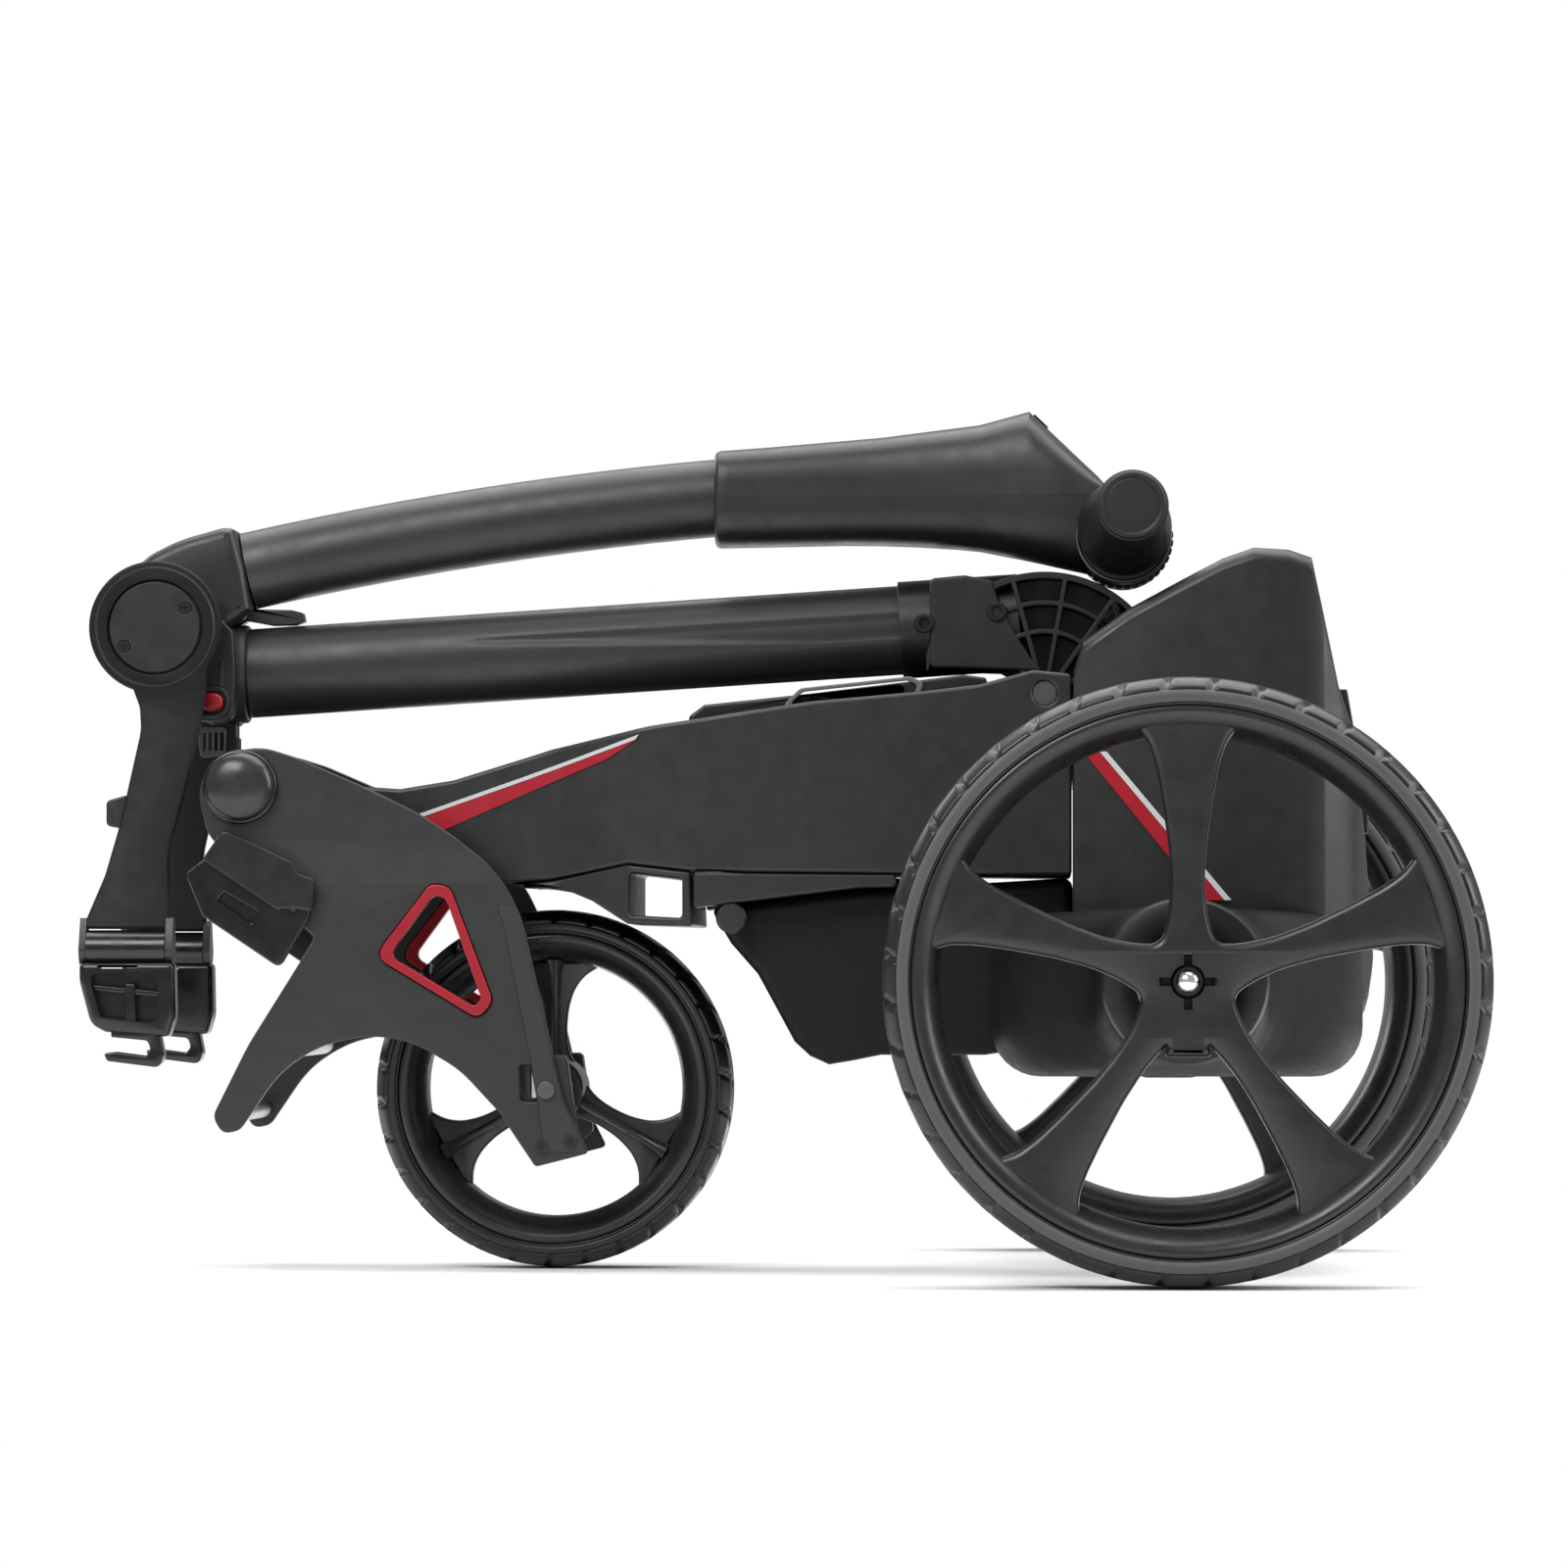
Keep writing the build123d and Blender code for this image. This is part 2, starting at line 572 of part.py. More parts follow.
def make_hinge_bracket():
    """Socket for the lower tube with a ribbed quadrant round the main pivot."""
    socket = oval_bar((70, 0, 335.5), (133, 0, 339.6), 25.6, 25.5)
    room = oval_bar((60, 0, 334.9), (129, 0, 339.4), LOWER_HALF_H + 0.1, LOWER_HALF_W + 0.1)
    half_disc = [(MAIN_X - 62, 313), (MAIN_X - 30, 316.5), (MAIN_X, MAIN_Z), (MAIN_X + 80, MAIN_Z),
                 (MAIN_X + 80, 400), (MAIN_X - 62, 400)]
    region = side_prism(half_disc, -BRACKET_HALF, BRACKET_HALF)
    disc = y_cylinder(MAIN_X, MAIN_Z, QUADRANT_R, -BRACKET_HALF, BRACKET_HALF) & region
    web = disc & block(0, 300, -3, 3, 200, 500)
    ribs = Part() + web
    for outer, inner in ((66, 62.5), (51, 48.5), (36, 33.5)):
        ribs += ring(MAIN_X, MAIN_Z, outer, inner, -BRACKET_HALF, BRACKET_HALF) & region
    for angle in (5, 30, 55, 80, 105, 130, 155):
        spoke_rib = Pos(QUADRANT_R / 2, 0, 0) * Box(QUADRANT_R, 2 * BRACKET_HALF, 2.6)
        ribs += (Pos(MAIN_X, 0, MAIN_Z) * Rot(0, -angle, 0) * spoke_rib) & disc
    ribs += y_cylinder(MAIN_X, MAIN_Z, 13, -BRACKET_HALF - 4, BRACKET_HALF + 4)
    bracket = socket + ribs - room
    for x, z in BRACKET_SCREWS:
        bracket -= y_cylinder(x, z, 5.6, -40, -25.5) + y_cylinder(x, z, 5.6, 25.5, 40)
    return bracket - y_cylinder(MAIN_X, MAIN_Z, PIN_BORE_R, -40, 40)


def make_pivot_pins():
    """Pins of the main fold and of the front fork."""
    main = y_cylinder(MAIN_X, MAIN_Z, PIN_R, -86, 86)
    return main + y_cylinder(FORK_PIVOT_X, FORK_PIVOT_Z, PIN_R, -FORK_OUT - 4, FORK_OUT + 4)


def make_lower_collar():
    """Clevis that joins the lower tube to the folding hub."""
    ear = y_cylinder(HUB_X, HUB_Z, 30, -36, -24.4)
    arm = side_prism([(-300, 318), (-284, 336), (-269.2, 336), (-269.2, 287), (-286, 286),
                      (-296, 292)], -36, -24.4)
    yoke = side_prism([(-284, 335.5), (-268.2, 335.5), (-268.2, 288), (-286, 286.5), (-286, 320)],
                      -24.4, 24.4)
    collar = ear + arm + other_side(ear + arm) + yoke
    collar -= y_cylinder(HUB_X, HUB_Z, 31.6, -24.4, 24.4)
    collar -= y_cylinder(HUB_X, HUB_Z, PIN_R, -40, 40)
    collar -= side_prism([(-296.6, 291.4), (-284.6, 291.4), (-284.6, 301.6), (-296.6, 301.6)],
                         -40, -29, 3.5)
    return collar


def make_release_button():
    """Red oval push button in the side of the clevis."""
    return side_prism([(-296.2, 291.8), (-285, 291.8), (-285, 301.2), (-296.2, 301.2)],
                      -38.5, -32.2, 3.4)


def make_hub_pin():
    return y_cylinder(HUB_X, HUB_Z, PIN_R, -59, 59)


CRADLE_Z = 167.0


def make_bag_arm():
    """Left bag arm: hub ring and a plate that flares outwards."""
    side = [(-326, 306), (-323, 291), (-324, 280), (-334, 232), (-341, 205), (-352, 180),
            (-307, 178.5), (-308, 218), (-300, 250.6), (-294, 283), (-290, 308)]
    flare = [(-54, 345), (-54, 300), (-84, 175), (-92, 175), (-62, 300), (-62, 345)]
    face = Plane.YZ.offset(-400) * make_face(Polyline(*flare, close=True))
    band = extrude(face, amount=150)
    plate = side_prism(side, -110, -40) & band
    boss = y_cylinder(HUB_X, HUB_Z, HUB_R, -62, -36.4)
    arm = boss + plate - y_cylinder(HUB_X, HUB_Z, 23.8, -70, -59.5)
    arm -= y_cylinder(HUB_X, HUB_Z, PIN_R, -70, -30)
    tab = side_prism([(-341, 243), (-332, 246), (-332, 230), (-341, 230)], -73, -66, 2)
    for x in (-351, -311):
        arm += block(x, x + 4, -92, -84, 160.5, 181)
    pin = Pos(-329, -88, CRADLE_Z) * Cylinder(2.5, 40, rotation=(0, 90, 0))
    return arm + tab + pin


def make_hub_cap():
    """Left cover disc in the hub ring."""
    disc = y_cylinder(HUB_X, HUB_Z, 23.5, -63, -59.6)
    for x, z in ((HUB_X + 16, HUB_Z + 10), (HUB_X - 16, HUB_Z - 10)):
        disc -= y_cylinder(x, z, 3.3, -64, -61.2)
    return disc


def make_shaft_screws():
    """Socket screws of the bracket and cross head screws of the hub covers."""
    screws = Part()
    for x, z in BRACKET_SCREWS:
        screws += y_cylinder(x, z, 5.2, -29, -25.6) - y_cylinder(x, z, 2.6, -31, -27)
    for x, z in ((HUB_X + 16, HUB_Z + 10), (HUB_X - 16, HUB_Z - 10)):
        screws += cross_head(x, z, 3.0, -62.9, 1.6)
    return screws


def make_strap_anchor():
    """Ribbed end of the elastic bag strap under the clevis."""
    strap = block(-293, -281, -9, 9, 266, 285.9)
    for index in range(4):
        strap += block(-294, -280, -8 + 4.5 * index, -5.6 + 4.5 * index, 269, 279)
    return strap


CRADLE_SIDE = [(-352.5, 157.5), (-353.8, 150), (-346, 127), (-340, 123), (-300, 117.5),
               (-296, 135), (-300, 157.5)]


def make_bag_cradle():
    """Left bag cradle: knuckle, shallow dish, ribs and hook."""
    dish = side_prism(CRADLE_SIDE, -100, -80, 2)
    pocket = side_prism([(-347, 154), (-349, 149), (-342, 130), (-312, 126.5), (-310, 154)],
                        -103, -84, 2)
    rib = side_prism([(-346, 146), (-346, 143.5), (-311, 139.5), (-311, 142)], -98, -83)
    upright = block(-329, -325, -97, -83, 126, 155)
    knuckle = Pos(-329, -88, CRADLE_Z) * Cylinder(9.5, 34, rotation=(0, 90, 0))
    knuckle += block(-346, -312, -95, -84, 155, CRADLE_Z)
    knuckle -= Pos(-329, -88, CRADLE_Z) * Cylinder(2.56, 60, rotation=(0, 90, 0))
    hook = side_prism([(-338, 126), (-312, 122), (-310, 112), (-312, 104.6), (-340, 109),
                       (-340, 112), (-316, 108.5), (-315, 114), (-317, 118), (-338, 121)],
                      -97, -84)
    return dish - pocket + rib + upright + knuckle + hook


# ---------------------------------------------------------------- upper shaft

def make_upper_collar():
    """Knuckle that turns on the hub pin and holds the upper tube."""
    neck = side_prism([(-337, 369), (-319, 378), (-286, 389), (-281, 388.4), (-272.6, 345),
                       (-290, 341), (-318, 330), (-345, 345)], -23.6, 23.6)
    knuckle = y_cylinder(HUB_X, HUB_Z, 31, -24, 24)
    collar = neck + knuckle - y_cylinder(HUB_X, HUB_Z, PIN_BORE_R, -30, 30)
    collar -= y_cylinder(-277, 345.8, 1.5, -15, 15)
    return collar - side_prism([(-290, 353), (-290, 339), (-268, 339), (-268, 353)], -7, 7)


def upper_curve():
    """Centre line of the gently bent upper tube."""
    plane = Plane(origin=(0, 0, 0), x_dir=(1, 0, 0), z_dir=(0, -1, 0))
    return plane * ThreePointArc((-275.0, 367.5), (-150, 391.0), (20, 409.0))


def oval_sweep(half_height, half_width):
    path = upper_curve()
    start = path @ 0
    plane = Plane(origin=start, x_dir=(0, 1, 0), z_dir=path % 0)
    return sweep(plane * Ellipse(half_width, half_height), path)


def make_upper_tube():
    return oval_sweep(20.5, 18.0) - oval_sweep(18.4, 15.9)


def make_release_trigger():
    """Small squeeze lever under the start of the upper tube."""
    blade = side_prism([(-280, 349.5), (-272, 347), (-252, 346.5), (-246, 345), (-245, 340.5),
                        (-250, 338.6), (-262, 338.4), (-276, 341)], -6.6, 6.6, 1.2)
    return blade - y_cylinder(-277, 345.8, 1.56, -10, 10)


HANDLE_SIDE = [(-27.5, 430), (-27.5, 379), (50, 380.5), (92, 379), (112, 377), (140, 371.5),
               (166, 365.5), (187, 362), (198, 386), (175, 415), (138, 450.5), (112, 443.5),
               (60, 437)]
HANDLE_IN = [(-30, 426.5), (-30, 382.2), (50, 384), (92, 382.5), (112, 380.5), (158, 371),
             (158, 388), (158, 418), (136.5, 443), (112, 439.5), (60, 433)]
HANDLE_PLAN = [(-27.5, 25), (60, 26), (120, 31), (150, 36), (200, 37)]
HANDLE_PLAN_IN = [(-30, 22), (60, 23), (120, 28), (148, 33.5), (158.5, 34)]
PARTING_Z = 405.0


def handle_body():
    """Hollow handle moulding with the cross bar boss."""
    outer = side_prism(HANDLE_SIDE, -60, 60) & plan_prism(HANDLE_PLAN, 340, 470)
    inner = side_prism(HANDLE_IN, -60, 60) & plan_prism(HANDLE_PLAN_IN, 340, 470)
    bar = y_cylinder(BAR_X, BAR_Z, BAR_R, -37, 37)
    body = outer - inner + bar
    body -= y_cylinder(BAR_X, BAR_Z, DIAL_R + 1, -8, 8)
    body -= y_cylinder(BAR_X, BAR_Z, 4, -45, 45)
    return body - panel_frame() * Pos(0, 0, -3) * Cylinder(5.3, 14)


def make_handle_upper():
    return handle_body() & block(-40, 300, -60, 60, PARTING_Z, 480)


def make_handle_lower():
    return handle_body() & block(-40, 300, -60, 60, 300, PARTING_Z)


def make_grip():
    """Left soft grip, thicker at its root and raised towards its end."""
    root = Plane(origin=(BAR_X + 0.4, -37.2, BAR_Z + 3), x_dir=(1, 0, 0), z_dir=(0, -1, 0))
    tip = Plane(origin=(191.5, -85, 396), x_dir=(1, 0, 0), z_dir=(0, -1, 0))
    return loft([root * Circle(24.5), tip * Circle(18.7)])


def make_grip_cap():
    """Left end disc of the grip."""
    disc = y_cylinder(191.6, 396.1, 17.6, -88, -85.1)
    return chamfer(disc.faces().sort_by(Axis.Y)[0].edges(), 1.0)


def make_handle_pins():
    """Axle of the thumb wheel and pivot of the squeeze lever."""
    return y_cylinder(BAR_X, BAR_Z, 4, -20, 20) + y_cylinder(-277, 345.8, 1.5, -10, 10)


def make_speed_dial():
    """Thumb wheel with a knurled edge."""
    wheel = y_cylinder(BAR_X, BAR_Z, DIAL_R, -7, 7)
    for index in range(36):
        angle = math.radians(10 * index)
        wheel -= y_cylinder(BAR_X + DIAL_R * math.cos(angle), BAR_Z + DIAL_R * math.sin(angle),
                            0.9, -8, 8)
    return wheel - y_cylinder(BAR_X, BAR_Z, 4.06, -10, 10)


def panel_frame():
    """Frame of the sloping panel that faces the user."""
    return Plane(origin=(156.5, 0, 432.75), x_dir=(0, 1, 0), z_dir=(0.692, 0, 0.722))


def make_power_button():
    return panel_frame() * Pos(0, 0, -2.1) * Cylinder(5.0, 5.0)


def make_display_window():
    return panel_frame() * Pos(0, 17.5, 0.45) * Box(24, 10, 0.8)


def all_parts():
    chassis = make_chassis()
    housing = make_rear_housing()
    rim = make_rear_rim()
    tyre = make_rear_tyre()
    cradle = make_bag_cradle()
    return {
        "chassis_shell_left": left_half(chassis),
        "chassis_shell_right": right_half(chassis),
        "rear_housing_left": left_half(housing),
        "rear_housing_right": right_half(housing),
        "rear_rim_left": rim,
        "rear_rim_right": other_side(rim),
        "rear_tyre_left": tyre,
        "rear_tyre_right": other_side(tyre),
        "bag_cradle_left": cradle,
        "bag_cradle_right": other_side(cradle),
        "under_rails": make_under_rails(),
        "belly_pan": make_belly_pan(),
        "battery_case": make_battery_case(),
        "battery_lid": make_battery_lid(),
        "battery_plug": make_battery_plug(),
        "stripes_red": make_stripes_red(),
        "stripes_white": make_stripes_white(),
        "rear_latch_strip": make_rear_seam(),
        "axle_legs": both_sides(make_leg()),
        "axle_bearings": make_axle_bearings(),
        "gearbox_halves": make_gearbox_halves(),
        "motor": make_motor(),
        "controller": make_controller(),
        "pivot_pins": make_pivot_pins(),
        "drive_axle": make_drive_axle(),
        "drive_gear": make_drive_gear(),
        "motor_pinion": make_motor_pinion(),
        "front_rim": make_front_rim(),
        "front_tyre": make_front_tyre(),
        "front_bearings": make_front_bearings(),
        "front_axle": make_front_axle(),
        "fork_plates": both_sides(make_fork_plate()),
        "fork_bridge": make_fork_bridge(),
        "fork_screws": both_sides(make_fork_screws()),
        "triangle_trims": both_sides(make_triangle_trim()),
        "pivot_caps": both_sides(make_pivot_cap()),
        "axle_carriers": both_sides(make_axle_carrier()),
        "bag_clips": both_sides(make_bag_clip()),
        "clip_flaps": both_sides(make_bag_clip_flap()),
        "lower_tube": make_lower_tube(),
        "hinge_bracket": make_hinge_bracket(),
        "shaft_screws": both_sides(make_shaft_screws()),
        "lower_collar": make_lower_collar(),
        "release_button": make_release_button(),
        "hub_pin": make_hub_pin(),
        "hub_caps": both_sides(make_hub_cap()),
        "bag_arms": both_sides(make_bag_arm()),
        "strap_anchor": make_strap_anchor(),
        "upper_collar": make_upper_collar(),
        "upper_tube": make_upper_tube(),
        "release_trigger": make_release_trigger(),
        "handle_upper": make_handle_upper(),
        "handle_lower": make_handle_lower(),
        "handle_pins": make_handle_pins(),
        "grips": both_sides(make_grip()),
        "grip_caps": both_sides(make_grip_cap()),
        "speed_dial": make_speed_dial(),
        "power_button": make_power_button(),
        "display_window": make_display_window(),
    }


os.makedirs("parts", exist_ok=True)
for node, solid in all_parts().items():
    export_step(Pos(-FRAME_SHIFT, 0, 0) * solid, "parts/" + node + ".step")
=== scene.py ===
import json
import math

import bmesh
import bpy
from mathutils import Matrix, Vector

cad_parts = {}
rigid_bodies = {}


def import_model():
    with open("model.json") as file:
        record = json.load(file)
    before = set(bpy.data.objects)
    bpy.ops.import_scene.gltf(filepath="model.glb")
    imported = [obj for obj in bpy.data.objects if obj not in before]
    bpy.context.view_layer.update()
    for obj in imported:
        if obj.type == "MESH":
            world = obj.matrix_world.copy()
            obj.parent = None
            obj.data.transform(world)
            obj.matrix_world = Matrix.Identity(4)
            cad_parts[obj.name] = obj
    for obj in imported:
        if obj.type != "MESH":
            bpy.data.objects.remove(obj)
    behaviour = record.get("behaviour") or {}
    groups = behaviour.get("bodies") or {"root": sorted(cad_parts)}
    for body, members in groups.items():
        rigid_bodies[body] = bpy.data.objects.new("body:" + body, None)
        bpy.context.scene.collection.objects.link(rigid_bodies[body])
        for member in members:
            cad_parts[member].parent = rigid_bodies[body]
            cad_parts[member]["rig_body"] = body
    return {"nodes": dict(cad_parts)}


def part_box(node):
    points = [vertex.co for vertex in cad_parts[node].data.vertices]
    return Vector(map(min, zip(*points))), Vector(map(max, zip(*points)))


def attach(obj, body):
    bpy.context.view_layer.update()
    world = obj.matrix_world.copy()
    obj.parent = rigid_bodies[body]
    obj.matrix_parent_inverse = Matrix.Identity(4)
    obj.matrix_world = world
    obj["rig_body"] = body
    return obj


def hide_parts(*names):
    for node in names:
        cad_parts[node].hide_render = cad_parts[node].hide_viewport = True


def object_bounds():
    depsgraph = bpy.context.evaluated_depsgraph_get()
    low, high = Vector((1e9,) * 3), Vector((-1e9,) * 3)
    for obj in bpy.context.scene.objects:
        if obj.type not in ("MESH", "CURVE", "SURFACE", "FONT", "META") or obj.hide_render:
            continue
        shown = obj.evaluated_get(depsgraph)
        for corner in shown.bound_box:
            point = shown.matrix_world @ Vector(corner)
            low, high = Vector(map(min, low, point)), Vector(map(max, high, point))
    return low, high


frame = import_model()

# Electric golf trolley, folded. Metres, in the frame of the CAD model:
# X from the bag arms to the rear wheels, Y from left to right, Z up from the floor.
MM = 0.001
CAD_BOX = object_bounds()
NODES = frame["nodes"]


# ---------------- places read from the frame

def centre(node):
    low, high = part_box(node)
    return (low + high) / 2


REAR_AXLE = centre("rear_tyre_left")
FRONT_AXLE = centre("front_tyre")
HUB = centre("hub_caps")
DIAL = centre("speed_dial")
PIVOT_CAP = centre("pivot_caps")
REAR_DATUM_X = 216.0                       # the rear axle's X in the design's own datum
DATUM_X = REAR_AXLE.x - REAR_DATUM_X * MM
SIDES = (("left", -1), ("right", 1))        # the way each side faces along Y


def at(x, y, z):
    """Point of the design datum (millimetres) in the row frame (metres)."""
    return Vector((DATUM_X + x * MM, y * MM, z * MM))


def design(point):
    """Design (x, z) in millimetres of a point in the row frame."""
    return (point.x - DATUM_X) / MM, point.z / MM


# ---------------- materials

def fill(node, values):
    """Sets inputs of a shader node by their names."""
    for key, value in values.items():
        node.inputs[key].default_value = value


class Nodes:
    """Short names for the node calls of one material."""

    def __init__(self, name):
        self.material = bpy.data.materials.new(name)
        self.material.use_nodes = True
        self.tree = self.material.node_tree
        self.shader = self.tree.nodes["Principled BSDF"]
        self.place = self.add("ShaderNodeTexCoord").outputs["Object"]

    def add(self, kind, **values):
        node = self.tree.nodes.new(kind)
        for key, value in values.items():
            setattr(node, key, value)
        return node

    def link(self, output, target):
        self.tree.links.new(output, target)

    def noise(self, scale, detail=3.0, stretch=None):
        """Noise of so many cells per metre, stretched along the axes if asked."""
        texture = self.add("ShaderNodeTexNoise")
        fill(texture, {"Scale": scale, "Detail": detail})
        place = self.place
        if stretch:
            mapping = self.add("ShaderNodeMapping")
            fill(mapping, {"Scale": stretch})
            self.link(place, mapping.inputs["Vector"])
            place = mapping.outputs["Vector"]
        self.link(place, texture.inputs["Vector"])
        return texture.outputs["Fac"]

    def spread(self, source, low, high, to_low, to_high):
        """Maps a range of a value to another range, clamped."""
        node = self.add("ShaderNodeMapRange")
        fill(node, {"From Min": low, "From Max": high, "To Min": to_low, "To Max": to_high})
        self.link(source, node.inputs["Value"])
        return node.outputs["Result"]

    def mix(self, factor, first, second):
        """Colour between two colours or sockets."""
        node = self.add("ShaderNodeMix", data_type="RGBA")
        self.link(factor, node.inputs["Factor"])
        for value, target in ((first, node.inputs[6]), (second, node.inputs[7])):
            if isinstance(value, tuple):
                target.default_value = (*value, 1.0)
            else:
                self.link(value, target)
        return node.outputs[2]

    def bump(self, height, strength, distance):
        node = self.add("ShaderNodeBump")
        fill(node, {"Strength": strength, "Distance": distance})
        self.link(height, node.inputs["Height"])
        self.link(node.outputs["Normal"], self.shader.inputs["Normal"])


def scaled(colour, factor):
    return tuple(min(1.0, channel * factor) for channel in colour)


FINISH = {}


def surface(name, colour, rough, grain=(1500, 0.2, 0.00012), mottle=0.18, edge_highlight=2.2,
            edge_highlight_share=0.5, metallic=0.0, coat=0.0, stretch=None, specular=0.5):
    """Procedural finish: mottled colour, a painted highlight that lightens the sharp edges, uneven
    gloss and a fine grain.
    """
    nodes = Nodes(name)
    cloud = nodes.spread(nodes.noise(22, 4.0, stretch), 0.3, 0.7, 0.0, 1.0)
    base = nodes.mix(cloud, scaled(colour, 1 - mottle), scaled(colour, 1 + mottle))
    # painted highlight: sharp convex edges, found by their pointiness, are lightened towards the
    # colour times the edge factor
    edge = nodes.add("ShaderNodeNewGeometry").outputs["Pointiness"]
    edge = nodes.spread(edge, 0.515, 0.60, 0.0, edge_highlight_share)
    nodes.link(nodes.mix(edge, base, scaled(colour, edge_highlight)), nodes.shader.inputs["Base Color"])
    gloss = nodes.spread(nodes.noise(90, 3.0, stretch), 0.3, 0.7, rough - 0.05, rough + 0.06)
    nodes.link(gloss, nodes.shader.inputs["Roughness"])
    scale, strength, distance = grain
    nodes.bump(nodes.noise(scale, 2.0, stretch), strength, distance)
    fill(nodes.shader, {"Metallic": metallic, "Coat Weight": coat,
                        "Specular IOR Level": specular})
    FINISH[name] = nodes.material


surface("shell_black", (0.010, 0.0105, 0.011), 0.40)
surface("battery_black", (0.004, 0.004, 0.0045), 0.36)
surface("accent_red", (0.40, 0.005, 0.018), 0.36, edge_highlight=1.2, mottle=0.06)
surface("accent_white", (0.72, 0.72, 0.71), 0.38, edge_highlight=1.0, mottle=0.04)
surface("steel_dark", (0.09, 0.09, 0.093), 0.32, grain=(900, 0.15, 0.0001), metallic=0.9,
        stretch=(1, 8, 1))
surface("steel_bright", (0.78, 0.78, 0.79), 0.16, metallic=1.0, mottle=0.05, edge_highlight=1.1,
        grain=(700, 0.06, 0.0001), stretch=(1, 10, 1))
surface("gearbox_alloy", (0.36, 0.36, 0.37), 0.45, metallic=0.9, grain=(600, 0.35, 0.0003))
surface("gear_nylon", (0.62, 0.6, 0.52), 0.5, edge_highlight=1.1)
surface("rim_black", (0.016, 0.0165, 0.017), 0.30, grain=(1700, 0.06, 0.00006), mottle=0.06,
        edge_highlight_share=0.2)
surface("tyre_rubber", (0.006, 0.006, 0.006), 0.34, mottle=0.25, edge_highlight=1.8,
        grain=(800, 0.25, 0.0002))
surface("plate_black", (0.018, 0.0185, 0.019), 0.42, grain=(2200, 0.25, 0.0001))
surface("cap_grey", (0.022, 0.022, 0.0215), 0.27, grain=(2000, 0.1, 0.0001))
surface("tube_graphite", (0.026, 0.0275, 0.029), 0.40, metallic=0.15, mottle=0.06,
        grain=(2600, 0.2, 0.0001))
surface("grip_rubber", (0.004, 0.004, 0.004), 0.5, grain=(900, 0.4, 0.0002))
surface("screen_glass", (0.01, 0.012, 0.016), 0.08, mottle=0.1, coat=1.0,
        grain=(300, 0.02, 0.0001))
surface("rubber_band", (0.075, 0.075, 0.073), 0.5, mottle=0.12, grain=(900, 0.3, 0.0002))
surface("gloss_black", (0.004, 0.004, 0.004), 0.22, mottle=0.1)
# painted shade: a darker, less specular copy of shell_black for the bag arms, the belly pan and
# the drive covers, which face away from the light or catch too much of it
surface("shaded_shell_black", (0.006, 0.0062, 0.0064), 0.52, specular=0.22)
surface("screw_black", (0.016, 0.016, 0.016), 0.3, metallic=0.4, grain=(900, 0.15, 0.0001))
surface("strap_grey", (0.14, 0.14, 0.14), 0.55, mottle=0.15, grain=(1500, 0.4, 0.0002))


# ---------------- mesh helpers

def new_object(name, data):
    item = bpy.data.objects.new(name, data)
    bpy.context.scene.collection.objects.link(item)
    return item


def repaint(piece, look):
    """Leaves one finish on a piece, whatever its mesh brought along."""
    piece.data.materials.clear()
    piece.data.materials.append(FINISH[look])


def finish_mesh(name, mesh, node, slot, replaces=(), look=None):
    """Puts a mesh in the scene as a piece that moves with a CAD node.
    The finish is the slot's own one unless a look is named."""
    body = NODES[node]["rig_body"]
    piece = new_object(name, mesh)
    repaint(piece, look or slot)
    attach(piece, body)
    if replaces:
        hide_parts(*replaces)
    return piece


def welded(mesh, reach=1e-6, flat=None):
    """Joins the points that coincide, merges faces that meet at less than a flat angle in
    degrees, and turns every face outwards."""
    work = bmesh.new()
    work.from_mesh(mesh)
    bmesh.ops.remove_doubles(work, verts=work.verts, dist=reach)
    if flat:
        bmesh.ops.dissolve_limit(work, angle_limit=math.radians(flat), verts=work.verts,
                                 edges=work.edges, use_dissolve_boundaries=False)
    bmesh.ops.recalc_face_normals(work, faces=work.faces)
    work.to_mesh(mesh)
    work.free()
    if mesh.has_custom_normals:
        mesh.attributes.remove(mesh.attributes["custom_normal"])
    mesh.shade_smooth()
    return mesh


def mesh_of(verts, faces):
    mesh = bpy.data.meshes.new("mesh")
    mesh.from_pydata([tuple(v) for v in verts], [], faces)
    return welded(mesh)


def soften(piece, width, segments=3, angle=32.0):
    """Rounds the sharp edges and keeps the flat faces flat in the shading."""
    if width > 0:
        bevel = piece.modifiers.new("round", "BEVEL")
        bevel.width = width
        bevel.segments = segments
        bevel.limit_method = "ANGLE"
        bevel.angle_limit = math.radians(angle)
        bevel.use_clamp_overlap = False
        bevel.miter_outer = "MITER_ARC"
    normals = piece.modifiers.new("normals", "WEIGHTED_NORMAL")
    normals.weight = 50


def by_angle(piece, angle=34.0):
    """Smooth shading that breaks only at real edges."""
    piece.data.shade_smooth()
    piece.data.set_sharp_from_angle(angle=math.radians(angle))


def mirrored(mesh):
    """The same mesh on the other side of the middle plane."""
    other = mesh.copy()
    other.transform(Matrix.Scale(-1, 4, (0, 1, 0)))
    other.flip_normals()
    return other


def finish_pair(name, mesh, node, slot, replaces=(), look=None, angle=None):
    """A mesh of the left side and its mirror image, as two pieces. Their shading breaks at
    an angle if one is given, and otherwise follows the larger faces."""
    for side, own in (("left", mesh), ("right", mirrored(mesh))):
        stands_for = replaces if side == "left" else ()
        piece = finish_mesh(name + "_" + side, own, node, slot, stands_for, look)
        if angle:
            by_angle(piece, angle)
        else:
            soften(piece, 0)


def clean_copy(node):
    """A CAD node's shape as a new mesh, welded, with its flat areas merged."""
    return welded(NODES[node].data.copy(), 0.15 * MM, 1.2)


